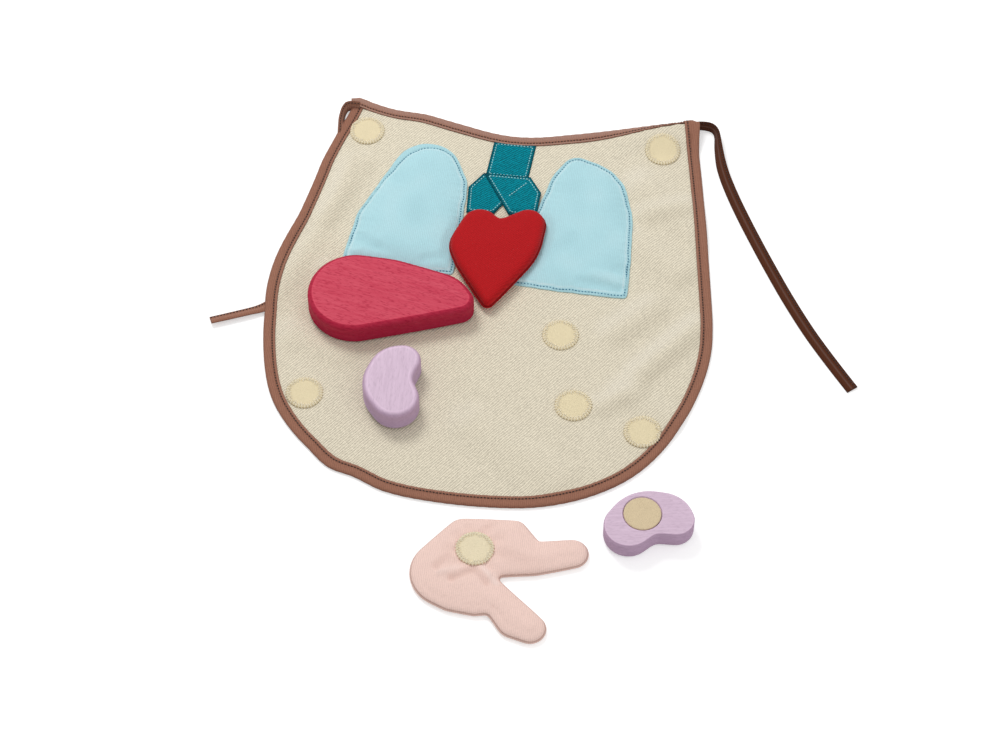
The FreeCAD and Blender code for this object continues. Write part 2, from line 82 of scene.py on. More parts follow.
# Mesh detail
WELD = 1e-6
FINE = 0.0005
RIM_STEP = 0.0015
GRID_STEP = 0.0028
CANVAS_STEP = 0.0032
SOFT_STEP_SHARE = 0.6
LUNG_STEP_SHARE = 0.5
ROW_SHARE = 0.866
KEEP_SHARE = 0.55
TO_MM = 1000.0
CLOSE = 0.00005
FLAT = 0.99
LAP = 8
SHARP = math.radians(28)
MITRE_LEAST = 0.3
TRIANGLES_INSIDE = 1
# Point attribute that carries painted shade, and painted light below zero, besides random mottling on the
# lungs
TINT = "tint"
TABLE = 0.0
# Averaging along a loop, as (steps away, weight)
EASING = ((0, 3.0), (1, 2.0), (-1, 2.0), (2, 1.0), (-2, 1.0))

# Strand of a stitch, with the share of its section left at its ends and how far these sink by its radius
STITCH_SIDES = 6
STITCH_RINGS = 5
STITCH_END_SHARE = 0.12
STITCH_SINK_SHARE = 0.35

# The tint in the binding's section is painted shade: a painted shadow along its inner edge and in the stitch
# row, shade round the fold and underneath, and a painted highlight on the lip beside the inner edge, where
# it is below zero
# Binding: section of the folded tape as (share of its width from the fold, share of its height, tint)
BINDING_WIDTH = 0.0086
BINDING_SECTION_SHARES = (
    (1.0, 0.68, 1.4), (1.0, 0.9, 1.0), (0.965, 0.985, 0.0), (0.88, 1.0, -0.12), (0.74, 0.92, 0.8),
    (0.62, 1.0, 0.1), (0.4, 1.05, 0.0), (0.22, 1.03, 0.0), (0.1, 0.93, 0.15), (0.025, 0.75, 0.35),
    (0.0, 0.5, 0.5), (0.025, 0.25, 0.7), (0.1, 0.07, 0.7), (0.22, 0.0, 0.7), (0.96, 0.0, 0.7),
    (1.0, 0.07, 0.7), (1.0, 0.32, 0.7), (0.1, 0.32, 0.7), (0.1, 0.68, 0.7),
)
BINDING_STITCH_SHARE = 0.74
BINDING_STITCH_HEIGHT_SHARE = 0.95
BINDING_STEP = 0.002
BINDING_PUCKER = 0.00014
BINDING_PUCKER_PITCH = 0.0072
NECK_END_REACH = 0.0040
# Painted light: the neck binding is made paler, as where it faces the lamp
NECK_PAINTED_LIGHT = -0.25

# Ties: routes from the tie's own neck corner, and how far the tape is rolled on edge along its length
TIE_WIDTH = 0.0085
TIE_THICKNESS = 0.0008
ROUTE_ORDER = 3
ROUTE_STEPS = 16
RIGHT_TIE_ROUTE = (
    (0.0013, -0.0042), (0.0090, -0.0032), (0.0154, -0.0078), (0.0170, -0.0210), (0.0214, -0.0425),
    (0.0316, -0.0680), (0.0454, -0.0965), (0.0602, -0.1254), (0.0776, -0.1575), (0.0995, -0.1930),
    (0.1240, -0.2255),
)
LEFT_TIE_ROUTE = (
    (0.0125, -0.0150), (0.0040, -0.0140), (0.0014, -0.0195), (0.0008, -0.0265), (0.0018, -0.0335),
    (0.0038, -0.0400), (0.0068, -0.0584), (0.0066, -0.0914), (0.0014, -0.1245), (-0.0046, -0.1575),
    (-0.0130, -0.1855), (-0.0250, -0.2035), (-0.0435, -0.2118), (-0.0625, -0.2198),
)
RIGHT_TIE_ROLLS = ((0.0, 84), (0.05, 78), (0.1, 58), (0.18, 36), (0.4, 22), (0.75, 12), (1.0, 6))
LEFT_TIE_ROLLS = ((0.0, 74), (0.08, 72), (0.12, 50), (0.16, 0), (0.8, 0), (0.88, -20), (1.0, -22))
# Section of a tie, as shares of half its width and of half its thickness, and its tint: painted shade along
# both edges of the tape and a painted highlight down its middle
TIE_SECTION_SHARES = (
    (1.0, -0.5, 0.8), (1.0, 0.5, 0.8), (0.95, 1.0, 0.5), (0.0, 0.9, -0.15), (-0.95, 1.0, 0.5),
    (-1.0, 0.5, 0.8), (-1.0, -0.5, 0.8), (-0.95, -1.0, 0.5), (0.0, -0.9, -0.15), (0.95, -1.0, 0.5),
)
TIE_STITCH_SHARE = 0.3

# How the cloth lies: (place, reach, shift) pulls in the plane
PULLS = (
    ((-0.130, 0.220), 0.070, (0.0068, -0.0052)),
    ((-0.096, 0.217), 0.032, (0.0, -0.0024)),
    ((-0.158, 0.062), 0.050, (-0.0046, 0.0)),
    ((-0.143, 0.148), 0.060, (0.0022, 0.0)),
    ((-0.156, -0.012), 0.055, (0.0030, 0.0)),
    ((0.152, -0.030), 0.085, (-0.0046, 0.0012)),
    ((0.000, 0.199), 0.040, (0.0, -0.0020)),
    ((-0.093, -0.103), 0.022, (-0.0005, -0.0019)),
    ((-0.073, -0.110), 0.022, (0.0004, 0.0016)),
)
# (start, end, reach, rise) soft swells of the canvas
SWELLS = (
    ((0.098, 0.160), (0.150, 0.120), 0.022, 0.0024),
    ((0.094, 0.108), (0.128, 0.086), 0.018, 0.0018),
    ((0.088, 0.028), (0.112, 0.052), 0.016, 0.0016),
    ((0.110, -0.006), (0.146, 0.040), 0.015, 0.0021),
    ((0.100, -0.020), (0.140, -0.044), 0.016, 0.0014),
    ((0.000, -0.060), (0.060, -0.098), 0.022, 0.0014),
    ((-0.128, 0.110), (-0.112, 0.160), 0.016, 0.0012),
    ((-0.100, -0.010), (-0.135, 0.000), 0.018, 0.0012),
    ((0.083, -0.036), (0.110, -0.020), 0.012, 0.0013),
    ((0.100, 0.135), (0.132, 0.147), 0.012, 0.0012),
    ((-0.104, 0.020), (-0.120, 0.060), 0.012, 0.0010),
)
# Soft bumps of the canvas, as (height, size, seed)
CANVAS_BUMPS = ((0.00022, 0.035, 1.7), (0.00012, 0.014, 4.2))
# Tint of the flanks of the swells, by their slope along the light
LIGHT_STEP = (-0.003, 0.003)
SWELL_TINT = 230.0
# Canvas over the tape that runs beneath it
TIE_RIDGE = (
    (-0.136, 0.196), (-0.123, 0.168), (-0.1225, 0.134), (-0.1285, 0.100), (-0.136, 0.067), (-0.152, 0.030),
)
TIE_RIDGE_REACH = 0.012
TIE_RIDGE_RISE = 0.0009
# Neck edge rolled back towards its right end
ROLL_DEGREES = 50.0
ROLL_START = 0.045
ROLL_END = 0.122
ROLL_FADE = 0.024

# Airway strips, lungs and dots
STRIP_STITCH_INSET = 0.0023
# Painted shadow: a dark line round the edge of each strip, where it stands off the canvas
STRIP_EDGE_SHADE = 1.6
STRIP_EDGE_REACH = 0.0005
STRIP_EDGE_SHARE = 0.25
STRIP_BUMP = 0.0002
STRIP_BUMP_SIZE = 0.006
CUT_EDGE_ROUND = 0.0003
# Second row across the right bronchus
CROSS_ROW = ((0.0010, 0.1385), (0.0128, 0.1525))
LUNG_SEAM_INSET = 0.0021
LUNG_SEAM_SHADE = 0.0006
# How far the sewn edge wanders, and over what length
LUNG_WANDER = 0.0004
LUNG_WANDER_SIZE = 0.010
LUNG_MOTTLE_TINT = 0.22
# The left lung's edge is wider round this place
LUNG_WIDE_PLACE = (-0.074, 0.172)
LUNG_WIDE_REACH = 0.038
LUNG_WIDE_EXTRA = 0.0030
# A darker edge outside the sewn row, and a painted highlight this far inside the sewn groove
LUNG_EDGE_TINT = 0.14
LUNG_HIGHLIGHT_LINE = 0.0015
LUNG_EDGE = 0.0011
LUNG_EDGE_SHARES = (1 / 3, 0.7)
LUNG_GROOVE = 0.0004
LUNG_RISE_REACH = 0.0085
LUNG_PUCKER = 0.00028
LUNG_PUCKER_PITCH = 0.0062
LUNG_PUCKER_REACH = 0.006
LUNG_PUCKER_START = 0.002
LUNG_GROOVE_WIDTH = 0.0008
LUNG_UNEVEN = 0.0003
LUNG_UNEVEN_SIZE = 0.018
LUNG_PRESS_REACH = 0.008
# Folds in the lung cloth, as (start, end, reach, rise); their rise also paints shade and light on the cloth
LUNG_FOLDS = (
    ((0.070, 0.074), (0.094, 0.070), 0.007, 0.0012),
    ((0.060, 0.068), (0.088, 0.064), 0.005, -0.0010),
    ((0.084, 0.080), (0.096, 0.084), 0.006, -0.0006),
    ((-0.110, 0.078), (-0.080, 0.072), 0.007, 0.0009),
    ((-0.100, 0.110), (-0.088, 0.140), 0.008, 0.0005),
    ((-0.1015, 0.089), (-0.086, 0.081), 0.006, -0.0008),
    ((-0.052, 0.074), (-0.040, 0.078), 0.006, -0.0008),
    ((0.036, 0.086), (0.052, 0.104), 0.009, -0.0006),
)
# Rim of a dot, as (share of its radius, share of its thickness)
DOT_RIM_SHARES = ((1.0, 0.55), (0.985, 0.85), (0.94, 1.0), (0.84, 0.9), (0.7, 0.97))
DOT_SEAM_SHARE = 0.2
DOT_FACE_SHARE = 0.97
DOT_BACK_INSET_SHARE = 0.02
DOT_SIDES = 72
DOT_STEP = 0.0013
DOT_NAP = 0.00007
DOT_NAP_SIZE = 0.003
DOT_ZIGZAGS = 36
DOT_ZIGZAG_SHARES = (0.74, 1.06)
DOT_RIM_CROSSING_SHARE = 0.4
DOT_WANDER_SHARE = 0.16
# Painted shade between the zigzag's threads round a sewn dot, and over what share of its radius it fades in
DOT_RIM_SHADE = 0.20
DOT_RIM_FADE_SHARE = 0.12
DOT_THREAD = 0.00036
DOT_THREAD_FOOT = 0.0002

# Wooden organs
WOOD_FRONT_ROUND = 0.004
WOOD_BACK_ROUND = 0.0012
WOOD_CROWN = 0.0006
WOOD_CROWN_REACH = 0.010
RECESS_WIDTH = 0.0265
RECESS_DEPTH = 0.0012
RECESS_DRAFT = 0.0003
ROUND_RINGS = 7
# Painted shade along the foot of a wooden organ, this far up
WOOD_FOOT_SHADE_REACH = 0.004
GRAIN_DEGREES = {"liver": -12, "left_kidney": 93, "right_kidney": 8}
# How deep the pores are stained and how dark the painted shade at the foot is, and how far up the surface
# faces where the deep stain begins
STAIN_AND_SHADE_SHARES = {"liver": (0.5, 0.955), "kidney": (0.22, 0.6)}

# Heart and stomach: rings from the seam inward, as (inset, share of the half's depth)
HEART_RING_SHARES = (
    (0.00015, 0.10), (0.0, 0.26), (0.0003, 0.46), (0.0009, 0.68), (0.0018, 0.85), (0.0028, 0.95),
    (0.0040, 1.0),
)
SOFT_LIP = 0.0011
# Painted shade in the crease along the seam of the heart and stomach: its width, and how dark it is
SEAM_SHADE = 0.00035
SEAM_SHADE_STRENGTH = 0.9
HEART_CROWN = 0.0011
HEART_CROWN_REACH = 0.012
HEART_BUMPS = ((0.00025, 0.016, 5.1),)
STOMACH_RING_SHARES = (
    (0.0002, 0.12), (0.0, 0.26), (0.0004, 0.44), (0.0012, 0.64), (0.0025, 0.82), (0.0040, 0.94),
    (0.0056, 1.0),
)
STOMACH_CROWN = 0.0024
STOMACH_CROWN_REACH = 0.010
STOMACH_DIMPLE_REACH = 0.016
STOMACH_SEAT_SINK = 0.0002
STOMACH_BUMPS = ((0.0005, 0.015, 8.8), (0.0002, 0.006, 2.2))
# Folds as (start, end, reach, height), from the middle of the dot; their height also paints shade and light
# on the stomach's top
STOMACH_FOLDS = (
    ((0.0062, -0.0125), (0.0170, -0.0240), 0.0032, 0.0020),
    ((0.0020, -0.0155), (0.0105, -0.0250), 0.0036, -0.0014),
    ((-0.0010, -0.0160), (-0.0125, -0.0245), 0.0040, -0.0020),
    ((-0.0090, -0.0145), (-0.0205, -0.0215), 0.0034, 0.0011),
    ((-0.0165, -0.0070), (-0.0235, -0.0165), 0.0046, -0.0014),
    ((0.0200, -0.0020), (0.0420, -0.0090), 0.0080, -0.0006),
    ((0.004, 0.014), (0.010, 0.022), 0.0050, -0.0006),
)
# Painted shade in the valleys of folds and painted light on their ridges, by their height
FOLD_PAINTED_SHADING = 170.0
STOMACH_PUCKERS = 9
STOMACH_PUCKER = 0.0005
STOMACH_PUCKER_MIDDLE = 0.005
STOMACH_PUCKER_REACH = 0.011

# Looks of cloth: how its ribs, yarns, flecks and faded patches share in it
SOFT_SHINE = 0.1
CLOTH_ROUGHNESS = 0.88
SHEEN_ROUGHNESS = 0.5
WAVE_LENGTH = math.pi / 10
RIB_DISTORTION = 2.2
RIB_DETAIL = 1.0
YARN_PITCH_SHARE = 0.62
YARN_SHARE = 0.4
FLECK_SIZE_SHARE = 0.9
FLECK_DETAIL = 2.0
FLECK_SHARE = 0.5
FLECK_HEIGHT_SHARE = 0.6
WEAVE_RANGE = (0.3, 0.7)
FADED_SIZE = 0.028
FADED_SHARES = (0.9, 1.05)
FADING_SHARE = 0.25
# How deep the painted shade and how pale the painted light that a tint gives
PAINTED_SHADE_SHARE = 0.5
PAINTED_LIGHT_SHARE = 0.6
CLOTH_BUMP = 0.6
# Cloths: settings of the colour and the rib spacing, slant of the ribs in degrees, relief and the rest; seam
# sets how strongly the tint paints shade and light
WEAVES = {
    "cream_twill": ("canvas", "canvas_pitch", dict(slant=38, relief=0.0004, contrast=0.34)),
    "brown_tape": ("binding", "fine_pitch", dict(slant=0, relief=0.0003, contrast=0.22)),
    # Tape darkened as painted shade, worn by the right tie
    "tape_back": ("shaded_tie", "fine_pitch", dict(slant=0, relief=0.0003)),
    "teal_twill": ("airway", "airway_pitch", dict(slant=52, relief=0.0005, sheen=0.0, contrast=0.75)),
    "blue_cotton": ("lung", "fine_pitch", dict(slant=0, relief=0.00025, contrast=0.09)),
    "red_twill": ("heart", "fine_pitch", dict(slant=45, relief=0.0003, contrast=0.2, seam=0.8)),
    "pink_cotton": ("stomach", "fine_pitch", dict(slant=0, relief=0.0003, contrast=0.14, seam=0.7)),
}

# Looks of the dots' nap
NAP_ROUGHNESS = 0.92
NAP_SHEEN = 0.1
NAP_SHARES = (1.08, 0.8)
# How dark the painted shade of a dot's rim is
NAP_SHADE_SHARE = 0.6
NAP_BUMP = 0.7
FUZZ_SIZE_SHARE = 0.7
FUZZ_DETAIL = 4.0
FUZZ_SHARE = 0.5
WORN_SIZE = 0.006
WORN_SHARE = 0.4
# Naps: setting of the colour, size of the clumps and relief
NAPS = {
    "loop_nap": ("loop_dot", 0.0006, 0.0003),
    "hook_nap": ("hook_dot", 0.0009, 0.0004),
    "sewn_hook_nap": ("sewn_hook_dot", 0.0009, 0.0004),
}

# Looks of the thread
THREAD_ROUGHNESS = 0.6
THREAD_SHEEN = 0.2
THREAD_SHINE = 0.3
PLY_PITCH = 0.0004
PLY_DEGREES = 30
PLY_SHARES = (0.8, 1.12)
PLY_BUMP = 0.4
PLY_RELIEF = 0.0001

# Looks of the wood: (brightness, saturation) of its pores, its streaks and what is between them
STAIN_TONES = ((0.55, 1.1), (0.84, 1.05), (1.14, 0.93))
STREAK_STRETCH = (0.08, 1.0, 1.0)
STREAK_DETAIL = 4.0
STREAK_HEIGHT_SHARE = 0.5
PORE_STRETCH = (0.2, 1.0, 1.0)
PORE_DETAIL = 1.0
PORE_SIZE_SHARE = 0.45
PORE_RANGE = (0.54, 0.7)
WOOD_ROUGHNESS = (0.42, 0.6)
WOOD_BUMP = 0.35
WOOD_RELIEF = 0.0003
# Brightness of the sides and of the rim round the top, which is partly wear and partly painted highlight,
# and how far up the rim and the top face
SIDE_SHARE = 0.95
RIM_WEAR_AND_HIGHLIGHT_SHARE = 1.12
RIM_FACING = 0.988
TOP_FACING = 0.998

# Stage: the point looked at, the lamps as (place, size), and the floor
LOOK_AT = (0.013, -0.016, 0.0)
SENSOR_WIDTH = 36.0
LAMPS = {"key": ((-0.55, 0.75, 1.25), 0.6), "fill": ((0.9, -0.5, 0.9), 0.9)}
FLOOR_HALF = 3.0
FLOOR_LEVEL = -0.0002
FLOOR_ROUGHNESS = 0.9
FLOOR_PATCH = 0.05
FLOOR_GREYS = (0.80, 0.83)
FLOOR_GLOW = 0.42


def srgb(*channels):
    """Colour written as it looks on screen, 0 to 1, as the linear values a shader takes."""
    return tuple(c / 12.92 if c <= 0.04045 else ((c + 0.055) / 1.055) ** 2.4 for c in channels)


def colour_property(name, description, *channels):
    """Colour setting whose default is given as it looks on screen."""
    return FloatVectorProperty(
        name=name, description=description, default=srgb(*channels), subtype="COLOR", size=3,
        min=0.0, max=1.0,
    )


def length_property(name, description, default):
    """Length setting in metres."""
    return FloatProperty(
        name=name, description=description, default=default, min=0.0, unit="LENGTH", precision=5
    )


def amount_property(name, description, default):
    """Setting of zero or more."""
    return FloatProperty(name=name, description=description, default=default, min=0.0)


class ApronClothSettings(PropertyGroup):
    """Colours and weave of the sewn pieces."""

    canvas: colour_property("Canvas", "Cream twill of the panel", 0.872, 0.836, 0.752)
    binding: colour_property("Binding", "Folded tape round the edge", 0.60, 0.42, 0.345)
    # Painted shade: the binding's brown tape as it looks in shade, worn by the right tie
    shaded_tie: colour_property("Tie back", "Darker back of the ties", 0.335, 0.178, 0.105)
    airway: colour_property("Airway", "Teal strips of windpipe and bronchi", 0.0, 0.48, 0.54)
    lung: colour_property("Lung", "Pale blue lung cloth", 0.70, 0.862, 0.892)
    heart: colour_property("Heart", "Red twill of the heart", 0.70, 0.09, 0.11)
    stomach: colour_property("Stomach", "Pale pink stomach cloth", 0.965, 0.84, 0.797)
    loop_dot: colour_property("Loop dot", "Napped dot on the apron", 0.93, 0.872, 0.725)
    hook_dot: colour_property("Hook dot", "Dot in the back of a wooden organ", 0.88, 0.80, 0.66)
    sewn_hook_dot: colour_property("Sewn hook dot", "Dot on the back of a soft organ", 0.95, 0.895, 0.765)
    canvas_pitch: length_property("Canvas twill", "Spacing of the ribs of the canvas", 0.0017)
    airway_pitch: length_property("Airway twill", "Spacing of the ribs of the teal strips", 0.0017)
    fine_pitch: length_property("Fine weave", "Spacing of the ribs of the thinner cloths", 0.0013)


class ApronThreadSettings(PropertyGroup):
    """Sewing thread: colours and stitch sizes."""

    brown: colour_property("Brown thread", "Stitches along the binding and ties", 0.14, 0.07, 0.05)
    pale: colour_property("Pale thread", "Stitches along the airway strips", 0.60, 0.87, 0.89)
    grey: colour_property("Grey thread", "Stitches round the lungs", 0.16, 0.43, 0.56)
    cream: colour_property("Cream thread", "Zigzag round the dots", 0.985, 0.942, 0.83)
    pitch: length_property("Stitch pitch", "Distance from stitch to stitch", 0.0023)
    stitch: length_property("Stitch length", "Length of thread that shows", 0.0016)
    radius: length_property("Thread radius", "Half the thickness of the thread", 0.00044)


class ApronWoodSettings(PropertyGroup):
    """Stained wooden organs."""

    liver_top: colour_property("Liver", "Crimson stain on the liver's top", 0.80, 0.255, 0.345)
    liver_side: colour_property("Liver side", "Deeper stain on its edge and sides", 0.69, 0.045, 0.215)
    kidney_top: colour_property("Kidney", "Lilac stain on the kidneys", 0.845, 0.745, 0.825)
    kidney_side: colour_property("Kidney side", "Deeper stain on the kidneys' sides", 0.75, 0.63, 0.735)
    grain: length_property("Grain", "Spacing of the streaks across the grain", 0.0016)


class ApronStageSettings(PropertyGroup):
    """Camera and studio light."""

    azimuth: FloatProperty(name="Azimuth", description="Camera's turn to the right", default=6.75)
    elevation: FloatProperty(name="Elevation", description="Camera's angle above the table", default=55.0)
    distance: length_property("Distance", "From the camera to the point it looks at", 1.8)
    lens: FloatProperty(name="Lens", description="Focal length in millimetres", default=93.96, min=1.0)
    sky: amount_property("Sky", "Even light from all round", 0.58)
    key: amount_property("Key", "Watts of the soft lamp at the upper left", 10.5)
    fill: amount_property("Fill", "Watts of the soft lamp at the right", 2.5)


def smooth(x):
    """Smooth step from 0 to 1."""
    x = np.clip(x, 0.0, 1.0)
    return x * x * (3 - 2 * x)


def bump_weight(distance, reach):
    """Bell that falls from 1 to 0 over a reach."""
    return np.clip(1 - (distance / reach) ** 2, 0.0, 1.0) ** 2


def line_weight(distance, width):
    """Soft weight of a line: 1 on it, and soon 0 beyond its width."""
    return np.exp(-((distance / width) ** 2))


def crowned(depth, start, height, reach):
    """Rise of a crown that begins at a depth and nears its height over a reach."""
    return height * (1 - np.exp(-np.clip(depth - start, 0.0, None) / reach))


def corners_of(node):
    """Low and high corner of a solid's box."""
    return [np.array(corner, float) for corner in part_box(node)]


def circle(centre, radius):
    """Points round a centre, counterclockwise."""
    angles = np.linspace(0.0, 2 * np.pi, DOT_SIDES, endpoint=False)
    return centre + np.column_stack([np.cos(angles), np.sin(angles)]) * radius


def rim(node, level):
    """Outer edge of a solid at a level where it has an edge, counterclockwise."""
    shape = bmesh.new()
    shape.from_mesh(frame["nodes"][node].data)
    bmesh.ops.remove_doubles(shape, verts=shape.verts, dist=WELD)
    shape.normal_update()
    next_to = {}
    for edge in shape.edges:
        a, b = edge.verts
        in_face = all(abs(face.normal.z) > FLAT for face in edge.link_faces)
        if not in_face and max(abs(a.co.z - level), abs(b.co.z - level)) < CLOSE:
            next_to.setdefault(a, []).append(b)
            next_to.setdefault(b, []).append(a)
    loops = []
    left = dict.fromkeys(next_to)
    while left:
        start, _ = left.popitem()
        loop = [start]
        step = next((v for v in next_to[start] if v in left), None)
        while step is not None:
            del left[step]
            loop.append(step)
            step = next((v for v in next_to[step] if v in left), None)
        loops.append(np.array([v.co[:2] for v in loop]))
    shape.free()
    if not loops:
        raise RuntimeError(f"{node} has no edge at {level}")
    loop = max(loops, key=lambda points: abs(area_of(points)))
    return loop if area_of(loop) > 0 else loop[::-1]


def area_of(loop):
    """Signed area of a closed loop."""
    x, y = loop.T
    return 0.5 * float(np.sum(x * np.roll(y, -1) - y * np.roll(x, -1)))


def along(line):
    """Distance travelled at each point of a line."""
    return np.concatenate([[0.0], np.cumsum(np.linalg.norm(np.diff(line, axis=0), axis=1))])


def at(line, places):
    """Points of a line at distances from its start."""
    travelled = along(line)
    return np.column_stack([np.interp(places, travelled, line[:, k]) for k in range(line.shape[1])])


def evenly(line, step):
    """Evenly spaced points of an open line, without its last."""
    total = along(line)[-1]
    return at(line, np.linspace(0.0, total, max(1, round(total / step)), endpoint=False))


def curved(line):
    """Fine points of the smooth curve through the points of an open line."""
    knots = along(line)
    gaps = np.diff(knots)
    count = len(line)
    system = np.eye(count)
    bends = np.zeros_like(line)
    slopes = np.diff(line, axis=0) / gaps[:, None]
    for k in range(1, count - 1):
        system[k, k - 1 : k + 2] = gaps[k - 1], 2 * (gaps[k - 1] + gaps[k]), gaps[k]
        bends[k] = 6 * (slopes[k] - slopes[k - 1])
    bends = np.linalg.solve(system, bends)
    places = np.linspace(0.0, knots[-1], max(2, round(knots[-1] / FINE)) + 1)
    k = np.clip(np.searchsorted(knots, places, side="right") - 1, 0, count - 2)
    gap = gaps[k][:, None]
    ahead = ((places - knots[k]) / gaps[k])[:, None]
    back = 1 - ahead
    lean = (back**3 - back) * bends[k] + (ahead**3 - ahead) * bends[k + 1]
    return back * line[k] + ahead * line[k + 1] + lean * gap**2 / 6


def sharp_points(loop):
    """Places in a closed loop where it turns sharply."""
    ahead = np.roll(loop, -1, axis=0) - loop
    behind = np.roll(ahead, 1, axis=0)
    aside = behind[:, 0] * ahead[:, 1] - behind[:, 1] * ahead[:, 0]
    turn = np.arctan2(aside, np.sum(behind * ahead, axis=1))
    return np.flatnonzero(np.abs(turn) > SHARP)


def stretches(loop):
    """Open lines between the sharp corners of a closed loop, none if it has no such corner."""
    corners = sharp_points(loop)
    if len(corners) == 0:
        return []
    loop = np.roll(loop, -corners[0], axis=0)
    stops = [k - corners[0] for k in corners] + [len(loop)]
    line = np.vstack([loop, loop[:1]])
    return [line[a : b + 1] for a, b in zip(stops, stops[1:])]


def resample(loop, step, closed=True):
    """Evenly spaced points of a loop, its sharp corners kept, or of an open line."""
    if not closed:
        return np.vstack([evenly(loop, step), loop[-1:]])
    lines = stretches(loop) or [np.vstack([loop, loop[:1]])]
    return np.vstack([evenly(line, step) for line in lines])


def outline(node, level, step):
    """Evenly spaced points of a solid's edge, smooth between its sharp corners."""
    loop = rim(node, level)
    lines = stretches(loop)
    if lines:
        return np.vstack([evenly(curved(line), step) for line in lines])
    lap = min(len(loop), LAP)
    line = curved(np.vstack([loop[-lap:], loop, loop[: lap + 1]]))
    ends = [int(np.argmin(np.linalg.norm(half - loop[0], axis=1))) for half in np.array_split(line, 2)]
    return evenly(line[ends[0] : ends[1] + (len(line) + 1) // 2 + 1], step)


def left_of(way):
    """Unit vectors to the left of directions."""
    way = way / np.linalg.norm(way, axis=1, keepdims=True)
    return np.column_stack([-way[:, 1], way[:, 0]])


def inward(loop, closed=True):
    """Normals to the left of a line, which point into a counterclockwise loop, longer at its corners."""
    if not closed:
        return left_of(np.gradient(loop, axis=0))
    ahead = left_of(np.roll(loop, -1, axis=0) - loop)
    behind = np.roll(ahead, 1, axis=0)
    share = np.maximum(1 + np.sum(ahead * behind, axis=1, keepdims=True), MITRE_LEAST)
    return (ahead + behind) / share


def eased(values):
    """Values along a closed loop, averaged with their neighbours."""
    total = sum(weight * np.roll(values, step, axis=0) for step, weight in EASING)
    return total / sum(weight for _, weight in EASING)


def nearest(points, line):
    """Distance from each point to a line of points, and which of them is nearest."""
    tree = KDTree(len(line))
    for k, (x, y) in enumerate(line):
        tree.insert((x, y, 0.0), k)
    tree.balance()
    found = [tree.find((x, y, 0.0)) for x, y in points]
    return np.array([f[2] for f in found]), np.array([f[1] for f in found])


def inside(points, loop):
    """Which points lie inside a closed loop."""
    x, y = points.T
    odd = np.zeros(len(points), bool)
    for (x0, y0), (x1, y1) in zip(loop, np.roll(loop, -1, axis=0)):
        if y0 != y1:
            odd ^= ((y0 > y) != (y1 > y)) & (x < (x1 - x0) * (y - y0) / (y1 - y0) + x0)
    return odd


def filled(loop, step, inner_loops=()):
    """Points and triangles inside a loop: the loop's own points come first, then those of inner loops."""
    low, high = loop.min(axis=0), loop.max(axis=0)
    rows = []
    for k, y in enumerate(np.arange(low[1], high[1], step * ROW_SHARE)):
        xs = np.arange(low[0] + (k % 2) * step / 2, high[0], step)
        rows.append(np.column_stack([xs, np.full_like(xs, y)]))
    grid = np.vstack(rows)
    grid = grid[inside(grid, loop)]
    lines = np.vstack([loop, *inner_loops])
    depth, _ = nearest(grid, lines)
    points = np.vstack([lines, grid[depth > step * KEEP_SHARE]])
    edges = []
    for line in (loop, *inner_loops):
        start = len(edges)
        edges += [(start + k, start + (k + 1) % len(line)) for k in range(len(line))]
    done = delaunay_2d_cdt([Vector(p) for p in points * TO_MM], edges, [], TRIANGLES_INSIDE, WELD)
    if len(done[0]) != len(points):
        raise RuntimeError(f"an outline near {tuple(loop[0])} crosses itself")
    source = [ids[0] for ids in done[3]]
    return points, [[source[k] for k in face] for face in done[2]]


def ripple(points, size, seed):
    """Smooth unevenness of about -1 to 1 with bumps of a given size."""
    return np.array([noise.noise(Vector((x / size, y / size, seed))) for x, y in points])


def bumpy(points, bumps):
    """Soft unevenness at places, from bumps given as (height, size, seed)."""
    return sum(height * ripple(points, size, seed) for height, size, seed in bumps)


def segment_distance(points, start, end):
    """Distance from points to a straight stretch."""
    start, end = np.array(start), np.array(end)
    way = end - start
    share = np.clip((points - start) @ way / (way @ way), 0.0, 1.0)
    return np.linalg.norm(points - start - share[:, None] * way, axis=1)


def folded(points, folds):
    """Height of folds at places, the folds given as (start, end, reach, height)."""
    rise = np.zeros(len(points))
    for start, end, reach, height in folds:
        rise += height * bump_weight(segment_distance(points, start, end), reach)
    return rise


def neck_and_sides():
    """Canvas outline cut at its neck corners: the neck from right to left, and the rest."""
    loop = outline("canvas_panel", CANVAS_TOP, FINE)
    right = int(np.argmax(loop[:, 1] + loop[:, 0]))
    loop = np.roll(loop, -right, axis=0)
    left = int(np.argmax(loop[:, 1] - loop[:, 0]))
    return loop[: left + 1], np.vstack([loop[left:], loop[:1]])


NECK_LINE, SIDE_LINE = neck_and_sides()
NECK_INWARD = inward(NECK_LINE, closed=False)
NECK_EDGE = NECK_LINE - NECK_INWARD * BINDING_LAYER


def swell(points):
    """Height that the cloth is raised by at places on the apron."""
    ridge = np.zeros(len(points))
    for start, end in zip(TIE_RIDGE, TIE_RIDGE[1:]):
        ridge = np.maximum(ridge, bump_weight(segment_distance(points, start, end), TIE_RIDGE_REACH))
    return folded(points, SWELLS) + TIE_RIDGE_RISE * ridge


